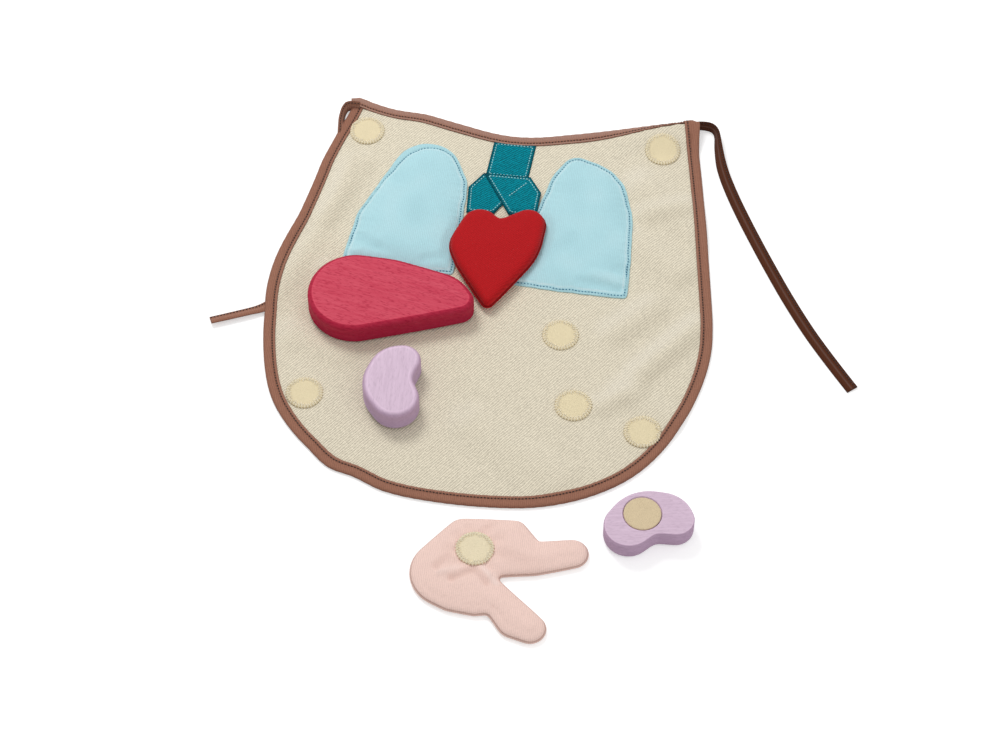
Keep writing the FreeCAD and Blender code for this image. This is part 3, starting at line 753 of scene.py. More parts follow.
def laid(verts):
    """Apron cloth as it lies: pulled in the plane, swollen, and rolled back along the neck."""
    verts = np.array(verts, float)
    flat = verts[:, :2].copy()
    out = verts.copy()
    for place, reach, shift in PULLS:
        weight = bump_weight(np.linalg.norm(flat - np.array(place), axis=1), reach)
        out[:, :2] += weight[:, None] * np.array(shift)
    out[:, 2] += swell(flat)
    depth, k = nearest(flat, NECK_EDGE)
    turn = math.radians(ROLL_DEGREES) * smooth((NECK_EDGE[k, 0] - ROLL_START) / (ROLL_END - ROLL_START))
    fade = 1 - smooth((depth - BINDING_WIDTH) / ROLL_FADE)
    arm = np.minimum(depth, BINDING_WIDTH)
    above = verts[:, 2] - (CANVAS_LOW + CANVAS_TOP) / 2
    outward = fade * (arm * (1 - np.cos(turn)) + above * np.sin(turn))
    out[:, :2] -= NECK_INWARD[k] * outward[:, None]
    out[:, 2] += fade * (arm * np.sin(turn) - above * (1 - np.cos(turn)))
    return out


def raised(verts):
    """Apron cloth that keeps its place in the plane and follows the canvas up and down."""
    verts = np.array(verts, float)
    lifted = laid(verts)
    return np.column_stack([verts[:, :2], lifted[:, 2]])


def piece(name, verts, faces, material, body, tint=None):
    """Mesh piece that rides on a body; its tint darkens its points, or lightens them below zero: mostly
    painted shade and painted light.
    """
    mesh = bpy.data.meshes.new(name)
    mesh.from_pydata([tuple(map(float, v)) for v in verts], [], [tuple(map(int, f)) for f in faces])
    shape = bmesh.new()
    shape.from_mesh(mesh)
    bmesh.ops.recalc_face_normals(shape, faces=shape.faces)
    shape.to_mesh(mesh)
    shape.free()
    mesh.polygons.foreach_set("use_smooth", [True] * len(mesh.polygons))
    mesh.materials.append(material)
    if tint is not None:
        values = mesh.attributes.new(TINT, "FLOAT", "POINT").data
        values.foreach_set("value", np.asarray(tint, np.float32))
    made = bpy.data.objects.new(name, mesh)
    bpy.context.scene.collection.objects.link(made)
    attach(made, body)
    return made


def ring_faces(first, second, count):
    """Quads between two rings of points, given where each ring starts."""
    nexts = [(k + 1) % count for k in range(count)]
    return [(first + k, first + n, second + n, second + k) for k, n in enumerate(nexts)]


def swept(centres, sides, ups, profile):
    """Closed profile of (side, up) points carried along a line, with its ends closed."""
    count = len(profile)
    verts = []
    faces = []
    for k, (centre, side, up) in enumerate(zip(centres, sides, ups)):
        verts.extend(centre + s * side + u * up for s, u in profile)
        if k:
            faces.extend(ring_faces((k - 1) * count, k * count, count))
    last = (len(centres) - 1) * count
    faces.append(range(count))
    faces.append(range(last, last + count))
    return np.array(verts), faces


def cushion(loop, seam, seam_inset, halves, step):
    """Closed form of two halves that meet at a seam; the seam's points come first.

    A half is its rings, as (inset, height) pairs from the seam inward, the height of its face as a function
    of places and their depth from the outline, and any loops that the face has to follow.
    """
    normals = eased(inward(loop))
    count = len(loop)
    fine = resample(loop, FINE)
    verts = [np.column_stack([loop + normals * seam_inset, np.full(count, seam)])]
    faces = []
    total = count
    for rings, face_height, *inner_loops in halves:
        before = 0
        for inset, height in rings:
            ring = loop + normals * inset
            verts.append(np.column_stack([ring, np.full(count, height)]))
            faces.extend(ring_faces(before, total, count))
            before = total
            total += count
        points, triangles = filled(ring, step, inner_loops)
        inner = points[count:]
        depth, _ = nearest(inner, fine)
        verts.append(np.column_stack([inner, face_height(inner, depth)]))
        shift = total - count
        faces.extend([[before + k if k < count else shift + k for k in tri] for tri in triangles])
        total += len(inner)
    return np.vstack(verts), faces


def stitched(name, lines, shade, body="apron", strand=None):
    """Row of short bowed stitches along each line; given the radius of a strand, one strand a line."""
    thread = bpy.context.scene.apron_thread
    material = finish_named(f"{shade}_thread", twisted, tuple(getattr(thread, shade)))
    radius = strand or thread.radius
    sides = STITCH_SIDES
    share = np.linspace(0.0, 1.0, STITCH_RINGS)
    round_off = np.sqrt(np.clip(np.sin(np.pi * share), STITCH_END_SHARE, 1.0))
    bow = np.sin(np.pi * share) - STITCH_SINK_SHARE
    around = np.linspace(0.0, 2 * np.pi, sides, endpoint=False)
    up = np.array((0.0, 0.0, 1.0))
    verts = []
    faces = []
    for line in lines:
        total = along(line)[-1]
        count = 1 if strand else max(1, round(total / thread.pitch))
        shown = total if strand else thread.stitch
        for k in range(count):
            middle = (k + 0.5) * total / count
            centres = at(line, middle + (share - 0.5) * shown)
            way = centres[-1] - centres[0]
            side = np.cross(up, way / np.linalg.norm(way))
            start = len(verts)
            for ring, centre in enumerate(centres):
                reach = radius * round_off[ring]
                middle_point = centre + up * radius * bow[ring]
                verts.extend(middle_point + reach * (np.cos(a) * side + np.sin(a) * up) for a in around)
                if ring:
                    faces.extend(ring_faces(start + (ring - 1) * sides, start + ring * sides, sides))
            faces.append(range(start, start + sides))
            faces.append(range(len(verts) - sides, len(verts)))
    return piece(name, verts, faces, material, body)


def add(tree, kind, inputs=None, **settings):
    """Shader node with its settings and its inputs, each a value or another node's output."""
    made = tree.nodes.new(kind)
    for key, value in settings.items():
        setattr(made, key, value)
    for key, value in (inputs or {}).items():
        if isinstance(value, bpy.types.NodeSocket):
            tree.links.new(value, made.inputs[key])
        else:
            made.inputs[key].default_value = value
    return made


def shader(name, roughness=0.5, sheen=0.0, specular=SOFT_SHINE):
    """New material with its node tree and main shader."""
    made = bpy.data.materials.new(name)
    made.use_nodes = True
    tree = made.node_tree
    main = tree.nodes["Principled BSDF"]
    main.inputs["Roughness"].default_value = roughness
    main.inputs["Specular IOR Level"].default_value = specular
    main.inputs["Sheen Weight"].default_value = sheen
    return made, tree, main


def object_place(tree):
    """Place in the space of the piece."""
    return add(tree, "ShaderNodeTexCoord").outputs["Object"]


def tint_of(tree):
    """Tint that the points of the piece carry: mostly painted shade, and painted light below zero."""
    return add(tree, "ShaderNodeAttribute", attribute_name=TINT).outputs["Fac"]


def shaded(colour, share):
    """Colour scaled in brightness, at most until its strongest channel is full."""
    share = min(share, 1 / max(colour))
    return tuple(c * share for c in colour) + (1.0,)


def deepened(colour, share):
    """Darker and stronger colour."""
    return tuple(c * c * share for c in colour) + (1.0,)


def blended(tree, factor, first, second):
    """Colour between two colours, which a mix node takes at its inputs 6 and 7."""
    return add(tree, "ShaderNodeMix", {0: factor, 6: first, 7: second}, data_type="RGBA").outputs[2]


def varied(tree, factor, colour, shares):
    """Colour between two brightnesses of itself."""
    return blended(tree, factor, *(shaded(colour, share) for share in shares))


def between(tree, share, first, second):
    """Value between two values, which a mix node takes at its inputs 2 and 3."""
    return add(tree, "ShaderNodeMix", {0: share, 2: first, 3: second}).outputs[0]


def spread(tree, value, ends):
    """Value spread out from 0 to 1 between two ends."""
    low, high = ends
    return add(tree, "ShaderNodeMapRange", {"Value": value, "From Min": low, "From Max": high}).outputs[0]


def math_node(tree, operation, first, second=0.0, clamp=False):
    """Sum, product or other operation of two values."""
    made = add(tree, "ShaderNodeMath", {0: first, 1: second}, operation=operation, use_clamp=clamp)
    return made.outputs[0]


def times(tree, value, share, clamp=False):
    """Share of a value."""
    return math_node(tree, "MULTIPLY", value, share, clamp)


def roughened(tree, main, height, strength, relief):
    """Gives a surface the bumps of a height."""
    bump = add(tree, "ShaderNodeBump", {"Height": height, "Strength": strength, "Distance": relief})
    tree.links.new(bump.outputs[0], main.inputs["Normal"])


def mapped(tree, where, degrees=0.0, stretch=(1.0, 1.0, 1.0)):
    """Places turned about the upright, or stretched."""
    turn = (0.0, 0.0, math.radians(degrees))
    return add(tree, "ShaderNodeMapping", {"Vector": where, "Rotation": turn, "Scale": stretch}).outputs[0]


def bands(tree, where, pitch, degrees):
    """Fine ribs at a slant, 0 to 1, a pitch apart."""
    turned = mapped(tree, where, degrees)
    wave = add(
        tree, "ShaderNodeTexWave",
        {"Vector": turned, "Scale": WAVE_LENGTH / pitch, "Distortion": RIB_DISTORTION, "Detail": RIB_DETAIL},
        bands_direction="X",
    )
    return wave.outputs["Fac"]


def mottle(tree, where, size, detail=3.0):
    """Uneven patches of a given size, about 0 to 1."""
    made = add(tree, "ShaderNodeTexNoise", {"Vector": where, "Scale": 1 / size, "Detail": detail})
    return made.outputs["Fac"]


def cloth(name, colour, pitch, slant, relief, sheen=0.06, contrast=0.16, seam=0.45):
    """Woven cloth: slanted ribs crossed by yarns, flecks of uneven yarn, soft fading, and the tint of its
    points, which paints shade at seams, edges and folds, and light below zero.
    """
    made, tree, main = shader(name, CLOTH_ROUGHNESS, sheen)
    main.inputs["Sheen Roughness"].default_value = SHEEN_ROUGHNESS
    where = object_place(tree)
    ribs = bands(tree, where, pitch, slant)
    yarns = bands(tree, where, pitch * YARN_PITCH_SHARE, slant + 90)
    weave = between(tree, YARN_SHARE, ribs, yarns)
    flecks = mottle(tree, where, pitch * FLECK_SIZE_SHARE, FLECK_DETAIL)
    tone = spread(tree, between(tree, FLECK_SHARE, weave, flecks), WEAVE_RANGE)
    patterned = varied(tree, tone, colour, (1 - contrast, 1 + contrast))
    faded = varied(tree, mottle(tree, where, FADED_SIZE), colour, FADED_SHARES)
    dyed = blended(tree, FADING_SHARE, patterned, faded)
    # The tint paints shade, and painted light where it is below zero; seam sets how strongly
    tint = tint_of(tree)
    deep = blended(tree, times(tree, tint, seam, clamp=True), dyed, deepened(colour, PAINTED_SHADE_SHARE))
    light = tuple(c + (1 - c) * PAINTED_LIGHT_SHARE for c in colour) + (1.0,)
    pale = blended(tree, times(tree, tint, -seam, clamp=True), deep, light)
    tree.links.new(pale, main.inputs["Base Color"])
    height = math_node(tree, "ADD", weave, times(tree, flecks, FLECK_HEIGHT_SHARE))
    roughened(tree, main, height, CLOTH_BUMP, relief)
    return made


def napped(name, colour, size, relief):
    """Matted loops or hooks of a dot: fine clumps with darker hollows, and painted shade where its points
    carry a tint.
    """
    made, tree, main = shader(name, NAP_ROUGHNESS, NAP_SHEEN)
    where = object_place(tree)
    clumps = add(tree, "ShaderNodeTexVoronoi", {"Vector": where, "Scale": 1 / size}).outputs["Distance"]
    fuzz = mottle(tree, where, size * FUZZ_SIZE_SHARE, FUZZ_DETAIL)
    matted = varied(tree, between(tree, FUZZ_SHARE, clumps, fuzz), colour, NAP_SHARES)
    worn = varied(tree, mottle(tree, where, WORN_SIZE), colour, FADED_SHARES)
    nap = blended(tree, WORN_SHARE, matted, worn)
    # Painted shade where the points carry a tint
    sewn = blended(tree, tint_of(tree), nap, deepened(colour, NAP_SHADE_SHARE))
    tree.links.new(sewn, main.inputs["Base Color"])
    roughened(tree, main, math_node(tree, "SUBTRACT", fuzz, clumps), NAP_BUMP, relief)
    return made


def twisted(name, colour):
    """Sewing thread: plied strands with a soft shine."""
    made, tree, main = shader(name, THREAD_ROUGHNESS, THREAD_SHEEN, THREAD_SHINE)
    plies = bands(tree, object_place(tree), PLY_PITCH, PLY_DEGREES)
    tree.links.new(varied(tree, plies, colour, PLY_SHARES), main.inputs["Base Color"])
    roughened(tree, main, plies, PLY_BUMP, PLY_RELIEF)
    return made


def stained(name, top, side, grain_degrees, grain, depth, edge):
    """Stained wood: fine streaks, short pores, deeper stain round its edge, a lighter rim round the top that
    is partly wear and partly painted highlight, and painted shade towards its foot.
    """
    made, tree, main = shader(name)
    turned = mapped(tree, object_place(tree), -grain_degrees)
    streaks = mottle(tree, mapped(tree, turned, stretch=STREAK_STRETCH), grain, STREAK_DETAIL)
    pores = mottle(tree, mapped(tree, turned, stretch=PORE_STRETCH), grain * PORE_SIZE_SHARE, PORE_DETAIL)
    pits = spread(tree, pores, PORE_RANGE)
    normal = add(tree, "ShaderNodeNewGeometry").outputs["Normal"]
    upward = add(tree, "ShaderNodeSeparateXYZ", {0: normal}).outputs[2]
    facing = add(tree, "ShaderNodeValToRGB", {"Fac": upward})
    middle = tuple((a + b) / 2 for a, b in zip(top, side))
    # The rim round the top is lighter: partly wear, partly painted highlight
    stops = (
        (edge, side, 1.0), ((edge + RIM_FACING) / 2, middle, 1.0), (RIM_FACING, top, RIM_WEAR_AND_HIGHLIGHT_SHARE),
        (TOP_FACING, top, 1.0),
    )
    ramp = facing.color_ramp
    ramp.elements.remove(ramp.elements[-1])
    ramp.elements[0].color = shaded(side, SIDE_SHARE)
    for position, colour, brightness in stops:
        ramp.elements.new(position).color = shaded(colour, brightness)
    dark, low, pale = (
        add(
            tree, "ShaderNodeHueSaturation",
            {"Value": value, "Saturation": saturation, "Color": facing.outputs[0]},
        ).outputs[0]
        for value, saturation in STAIN_TONES
    )
    grained = blended(tree, streaks, low, pale)
    pitted = blended(tree, times(tree, pits, depth), grained, dark)
    # Painted shade towards the foot, from the tint of the points
    shadowed = blended(tree, times(tree, tint_of(tree), depth), pitted, dark)
    tree.links.new(shadowed, main.inputs["Base Color"])
    smoothest, roughest = WOOD_ROUGHNESS
    rough = add(tree, "ShaderNodeMapRange", {"Value": streaks, "To Min": smoothest, "To Max": roughest})
    tree.links.new(rough.outputs[0], main.inputs["Roughness"])
    height = math_node(tree, "SUBTRACT", times(tree, streaks, STREAK_HEIGHT_SHARE), pits)
    roughened(tree, main, height, WOOD_BUMP, WOOD_RELIEF)
    return made


MATERIALS = {}


def finish_named(name, make, *values, **options):
    """Material of a name, made the first time it is asked for."""
    if name not in MATERIALS:
        MATERIALS[name] = make(name, *values, **options)
    return MATERIALS[name]


def woven(name):
    """Cloth of a name, with its colour and rib spacing from the settings."""
    cloths = bpy.context.scene.apron_cloth
    colour, pitch, options = WEAVES[name]
    return finish_named(name, cloth, tuple(getattr(cloths, colour)), getattr(cloths, pitch), **options)


class APRON_OT_stage(Operator):
    """Sets the camera at the photograph's angle, a white floor and soft studio light"""

    bl_idname = "apron.stage"
    bl_label = "Camera, floor and light"

    def execute(self, context):
        scene = context.scene
        stage = scene.apron_stage
        target = Vector(LOOK_AT)
        turn, tilt = math.radians(stage.azimuth), math.radians(stage.elevation)
        back = Vector((math.sin(turn) * math.cos(tilt), -math.cos(turn) * math.cos(tilt), math.sin(tilt)))
        lens = bpy.data.cameras.new("camera")
        lens.lens = stage.lens
        lens.sensor_width = SENSOR_WIDTH
        camera = bpy.data.objects.new("camera", lens)
        camera.location = target + back * stage.distance
        camera.rotation_euler = back.to_track_quat("Z", "Y").to_euler()
        scene.collection.objects.link(camera)
        scene.camera = camera
        self.floor(scene)
        self.sky(scene, stage.sky)
        for name, (place, size) in LAMPS.items():
            self.lamp(scene, name, Vector(place), target, size, getattr(stage, name))
        scene.view_settings.view_transform = "Standard"
        return {"FINISHED"}

    def floor(self, scene):
        """White floor that keeps a soft shadow."""
        made, tree, main = shader("white_floor", FLOOR_ROUGHNESS)
        paper = mottle(tree, object_place(tree), FLOOR_PATCH)
        darker, paler = ((grey, grey, grey, 1.0) for grey in FLOOR_GREYS)
        tree.links.new(blended(tree, paper, darker, paler), main.inputs["Base Color"])
        strength = times(tree, self.seen_directly(tree), FLOOR_GLOW)
        glow = add(tree, "ShaderNodeEmission", {"Strength": strength})
        both = add(tree, "ShaderNodeAddShader", {0: main.outputs[0], 1: glow.outputs[0]})
        tree.links.new(both.outputs[0], tree.nodes["Material Output"].inputs["Surface"])
        mesh = bpy.data.meshes.new("floor")
        signs = ((-1, -1), (1, -1), (1, 1), (-1, 1))
        corners = [(x * FLOOR_HALF, y * FLOOR_HALF, FLOOR_LEVEL) for x, y in signs]
        mesh.from_pydata(corners, [], [range(len(corners))])
        mesh.materials.append(made)
        floor = bpy.data.objects.new("floor", mesh)
        scene.collection.objects.link(floor)

    def seen_directly(self, tree):
        """1 for what the camera sees, also in a reflection or through glass."""
        path = add(tree, "ShaderNodeLightPath").outputs
        some = math_node(tree, "MAXIMUM", path["Is Camera Ray"], path["Is Glossy Ray"])
        return math_node(tree, "MAXIMUM", some, path["Is Transmission Ray"])

    def sky(self, scene, strength):
        """Even white sky, plain white where it is seen."""
        world = bpy.data.worlds.new("studio")
        world.use_nodes = True
        tree = world.node_tree
        level = math_node(tree, "MAXIMUM", self.seen_directly(tree), strength)
        tree.nodes["Background"].inputs["Color"].default_value = (1, 1, 1, 1)
        tree.links.new(level, tree.nodes["Background"].inputs["Strength"])
        scene.world = world

    def lamp(self, scene, name, place, target, size, watts):
        """Large soft lamp that faces the apron."""
        light = bpy.data.lights.new(name, "AREA")
        light.shape = "DISK"
        light.size = size
        light.energy = watts
        lamp = bpy.data.objects.new(name, light)
        lamp.location = place
        lamp.rotation_euler = (place - target).to_track_quat("Z", "Y").to_euler()
        scene.collection.objects.link(lamp)


class APRON_OT_ties(Operator):
    """Makes the two neck ties as limp tapes along their routes"""

    bl_idname = "apron.ties"
    bl_label = "Neck ties"

    def execute(self, context):
        # The right tie is made of the tape darkened by painted shade
        self.tie("right", RIGHT_TIE_ROUTE, RIGHT_TIE_ROLLS, "tape_back")
        self.tie("left", LEFT_TIE_ROUTE, LEFT_TIE_ROLLS, "brown_tape")
        return {"FINISHED"}

    def tie(self, side, route, rolls, weave):
        """One tape and its edge stitches."""
        sign = 1 if side == "right" else -1
        corner = np.array((sign * NECK_CORNER[0], NECK_CORNER[1]))
        line = self.smooth_line([corner + np.array(step) for step in route])
        line = resample(line[:, :2], BINDING_STEP, closed=False)
        shares = along(line) / along(line)[-1]
        roll = np.radians(np.interp(shares, *zip(*rolls))) * sign
        middle = (TIE_WIDTH * np.abs(np.sin(roll)) + TIE_THICKNESS * np.cos(roll)) / 2
        centres = np.column_stack([line, middle])
        across = inward(line, closed=False)
        sides = np.column_stack([across * np.cos(roll)[:, None], np.sin(roll)])
        ups = np.column_stack([-across * np.sin(roll)[:, None], np.cos(roll)])
        half, thick = TIE_WIDTH / 2, TIE_THICKNESS / 2
        verts, faces = swept(centres, sides, ups, [(w * half, h * thick) for w, h, _ in TIE_SECTION_SHARES])
        # Painted shade along the tape's edges and a painted highlight down its middle
        tint = np.tile([t for _, _, t in TIE_SECTION_SHARES], len(centres))
        tape = piece(f"{side}_tie_tape", verts, faces, woven(weave), "apron", tint)
        row = centres + sides * TIE_WIDTH * TIE_STITCH_SHARE * sign + ups * thick
        seam = stitched(f"{side}_tie_stitches", [row], "brown")
        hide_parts(f"{side}_tie")

    def smooth_line(self, points):
        """Points along the smooth curve that the route steers."""
        curve = bpy.data.curves.new("route", "CURVE")
        curve.dimensions = "3D"
        curve.resolution_u = ROUTE_STEPS
        spline = curve.splines.new("NURBS")
        spline.points.add(len(points) - 1)
        for steer, (x, y) in zip(spline.points, points):
            steer.co = (x, y, 0.0, 1.0)
        spline.order_u = ROUTE_ORDER
        spline.use_endpoint_u = True
        holder = bpy.data.objects.new("route", curve)
        mesh = bpy.data.meshes.new_from_object(holder)
        line = np.array([v.co[:] for v in mesh.vertices])
        bpy.data.meshes.remove(mesh)
        bpy.data.objects.remove(holder)
        bpy.data.curves.remove(curve)
        return line


class APRON_OT_panel(Operator):
    """Makes the canvas panel and the folded binding that is sewn round it"""

    bl_idname = "apron.panel"
    bl_label = "Canvas and binding"

    def execute(self, context):
        edge_loop = resample(np.vstack([NECK_LINE[:-1], SIDE_LINE[:-1]]), RIM_STEP)
        points, triangles = filled(edge_loop, CANVAS_STEP)
        bumps = bumpy(points, CANVAS_BUMPS)
        layers = [np.column_stack([points, level + bumps]) for level in (CANVAS_TOP, CANVAS_LOW)]
        count = len(points)
        faces = list(triangles)
        faces += [[count + k for k in reversed(tri)] for tri in triangles]
        faces += ring_faces(0, count, len(edge_loop))
        towards_light = np.array(LIGHT_STEP)
        tint = np.tile(SWELL_TINT * (swell(points + towards_light) - swell(points - towards_light)), 2)
        weave = woven("cream_twill")
        canvas = piece("canvas_cloth", laid(np.vstack(layers)), faces, weave, "apron", tint)
        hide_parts("canvas_panel")
        edge, edge_seam = self.binding("edge", SIDE_LINE)
        neck, neck_seam = self.binding("neck", NECK_LINE)
        return {"FINISHED"}

    def binding(self, name, line):
        """Folded tape along a stretch of the canvas edge, with its row of stitches."""
        line = resample(line, BINDING_STEP, closed=False)
        if name == "neck":
            way = line[-1] - line[-2]
            line = np.vstack([line, line[-1] + way / np.linalg.norm(way) * NECK_END_REACH])
        normals = inward(line, closed=False)
        count = len(line)
        travelled = along(line)
        to_end = travelled[-1] - travelled
        lift = BINDING_LAYER * (1 - smooth((to_end - BINDING_WIDTH) / BINDING_WIDTH))
        lift += BINDING_PUCKER * np.sin(2 * np.pi * travelled / BINDING_PUCKER_PITCH)
        shares = BINDING_SECTION_SHARES
        section = [(w * BINDING_WIDTH - BINDING_LAYER, h * BINDING_TOP) for w, h, _ in shares]
        # The neck's tape gets painted light over the painted shade of its section
        paler = NECK_PAINTED_LIGHT if name == "neck" else 0.0
        tint = np.tile([t + paler for _, _, t in shares], count)
        centres = np.column_stack([line, lift])
        sides = np.column_stack([normals, np.zeros(count)])
        ups = np.tile((0.0, 0.0, 1.0), (count, 1))
        verts, faces = swept(centres, sides, ups, section)
        weave = woven("brown_tape")
        tape = piece(f"{name}_binding_tape", laid(verts), faces, weave, "apron", tint)
        row = centres + sides * (BINDING_STITCH_SHARE * BINDING_WIDTH - BINDING_LAYER)
        row[:, 2] += BINDING_TOP * BINDING_STITCH_HEIGHT_SHARE
        seam = stitched(f"{name}_binding_stitches", [laid(row)], "brown")
        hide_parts(f"{name}_binding")
        return tape, seam


def level_face(level, unevenness=0.0, size=1.0):
    """Height function of a level face, with soft bumps of a size if it is uneven."""
    def height(points, depth):
        return level + unevenness * ripple(points, size, level)
    return height


def inset_line(loop, inset, height):
    """Loop moved inward by one inset or one for each point, at a height, and closed."""
    inner = loop + inward(loop) * np.reshape(inset, (-1, 1))
    inner = np.vstack([inner, inner[:1]])
    return np.column_stack([inner, np.full(len(inner), height)])


def stuffed(node, low, seam, top, ring_shares, top_face):
    """Stuffed form whose top half has a lip along the seam: its points, its faces and the painted shade
    along its seam.
    """
    loop = outline(node, seam, RIM_STEP)
    top_rings = [(inset + SOFT_LIP, seam + (top - seam) * share) for inset, share in ring_shares]
    low_rings = [(inset, seam + (low - seam) * share) for inset, share in ring_shares]
    halves = ((top_rings, top_face), (low_rings, level_face(low)))
    verts, faces = cushion(loop, seam, SOFT_LIP, halves, GRID_STEP * SOFT_STEP_SHARE)
    # Painted shade along the seam
    return verts, faces, SEAM_SHADE_STRENGTH * line_weight(verts[:, 2] - seam, SEAM_SHADE)


class APRON_OT_airways(Operator):
    """Makes the teal windpipe and bronchi strips with their stitches"""

    bl_idname = "apron.airways"
    bl_label = "Windpipe and bronchi"

    def execute(self, context):
        weave = woven("teal_twill")
        for node in ("windpipe_strip", "left_bronchus_strip", "right_bronchus_strip"):
            low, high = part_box(node)
            base, top = float(low[2]), float(high[2])
            middle = float(low[2] + high[2]) / 2
            corners = rim(node, top)
            corners = corners[sharp_points(corners)]
            loop = resample(corners, RIM_STEP)
            rings = ((0.0, middle + STRIP_EDGE_SHARE * float(high[2] - low[2])), (CUT_EDGE_ROUND, top))
            face = level_face(top, STRIP_BUMP, STRIP_BUMP_SIZE)
            halves = ((rings, face), (((0.0, base),), level_face(base)))
            verts, faces = cushion(loop, middle, 0.0, halves, GRID_STEP)
            depth, _ = nearest(verts[:, :2], resample(loop, FINE))
            # Painted shadow round the strip's edge
            tint = STRIP_EDGE_SHADE * (depth < STRIP_EDGE_REACH)
            strip = piece(f"{node}_cloth", raised(verts), faces, weave, "apron", tint)
            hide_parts(node)
            row = inset_line(corners, STRIP_STITCH_INSET, top)
            legs = list(zip(row, row[1:]))
            if node == "right_bronchus_strip":
                legs.append([(x, y, top) for x, y in CROSS_ROW])
            rows = [raised(resample(np.array(leg), FINE, closed=False)) for leg in legs]
            seam = stitched(f"{node}_stitches", rows, "pale")
        return {"FINISHED"}


class APRON_OT_lungs(Operator):
    """Makes the two padded lungs with their sewn rims"""

    bl_idname = "apron.lungs"
    bl_label = "Lungs"

    def execute(self, context):
        weave = woven("blue_cotton")
        heart = outline("heart_back_cloth", HEART_SEAM, RIM_STEP)
        edge_low, edge_high = (CANVAS_TOP + share * LUNG_EDGE for share in LUNG_EDGE_SHARES)
        rings = ((0.0, edge_high), (CUT_EDGE_ROUND, CANVAS_TOP + LUNG_EDGE))
        for side in ("left", "right"):
            node = f"{side}_lung_cover"
            loop = outline(node, CANVAS_TOP, RIM_STEP)
            loop = loop + inward(loop) * LUNG_WANDER * ripple(loop, LUNG_WANDER_SIZE, LUNG_TOP)[:, None]
            fine = resample(loop, FINE)
            insets = self.seam_insets(fine, side)
            face = self.face(fine, insets, heart)
            halves = ((rings, face), (((0.0, CANVAS_TOP),), level_face(CANVAS_TOP)))
            verts, faces = cushion(loop, edge_low, 0.0, halves, GRID_STEP * LUNG_STEP_SHARE)
            places = verts[:, :2]
            depth, k = nearest(places, fine)
            past = depth - insets[k]
            # Painted shade along the sewn groove, a darker edge outside it, a painted highlight just inside
            # it, painted shade and light from the folds, and random mottling
            tint = line_weight(past, LUNG_SEAM_SHADE) + LUNG_EDGE_TINT * (past < 0)
            tint -= line_weight(past - LUNG_HIGHLIGHT_LINE, LUNG_SEAM_SHADE)
            tint -= FOLD_PAINTED_SHADING * folded(places, LUNG_FOLDS)
            tint += LUNG_MOTTLE_TINT * ripple(places, LUNG_UNEVEN_SIZE, LUNG_TOP)
            lung = piece(f"{side}_lung_cushion", raised(verts), faces, weave, "apron", tint)
            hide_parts(node, f"{side}_lung_padding")
            row_insets = self.seam_insets(loop, side)
            row = raised(inset_line(loop, row_insets, CANVAS_TOP + LUNG_EDGE - LUNG_GROOVE))
            stitched(f"{side}_lung_stitches", [row], "grey")
        return {"FINISHED"}

    def seam_insets(self, loop, side):
        """How far in from its edge a lung is sewn down, at each point of the edge."""
        insets = LUNG_SEAM_INSET + LUNG_WANDER * ripple(loop, LUNG_WANDER_SIZE, CANVAS_TOP)
        if side == "left":
            away = np.linalg.norm(loop - np.array(LUNG_WIDE_PLACE), axis=1)
            insets += LUNG_WIDE_EXTRA * bump_weight(away, LUNG_WIDE_REACH)
        return insets

    def face(self, fine, insets, heart):
        """Height function of a lung: flat edge, sewn groove, puckered padding, pressed under the heart."""
        travelled = along(np.vstack([fine, fine[:1]]))[:-1]

        def height(points, depth):
            _, k = nearest(points, fine)
            past = np.clip(depth - insets[k], 0.0, None)
            crown = crowned(past, 0.0, LUNG_TOP - CANVAS_TOP - LUNG_EDGE, LUNG_RISE_REACH)
            groove = LUNG_GROOVE * line_weight(depth - insets[k], LUNG_GROOVE_WIDTH)
            pucker = LUNG_PUCKER * np.exp(-past / LUNG_PUCKER_REACH) * smooth(past / LUNG_PUCKER_START)
            pucker = pucker * np.sin(2 * np.pi * travelled[k] / LUNG_PUCKER_PITCH)
            soft = LUNG_UNEVEN * ripple(points, LUNG_UNEVEN_SIZE, CANVAS_TOP)
            soft = soft * smooth(past / LUNG_RISE_REACH) + folded(points, LUNG_FOLDS)
            free = CANVAS_TOP + LUNG_EDGE + crown - groove + pucker + soft
            gap, _ = nearest(points, heart)
            near = np.where(inside(points, heart), 1.0, 1 - smooth(gap / LUNG_PRESS_REACH))
            return free + near * (np.minimum(free, LUNG_PRESSED) - free)
        return height


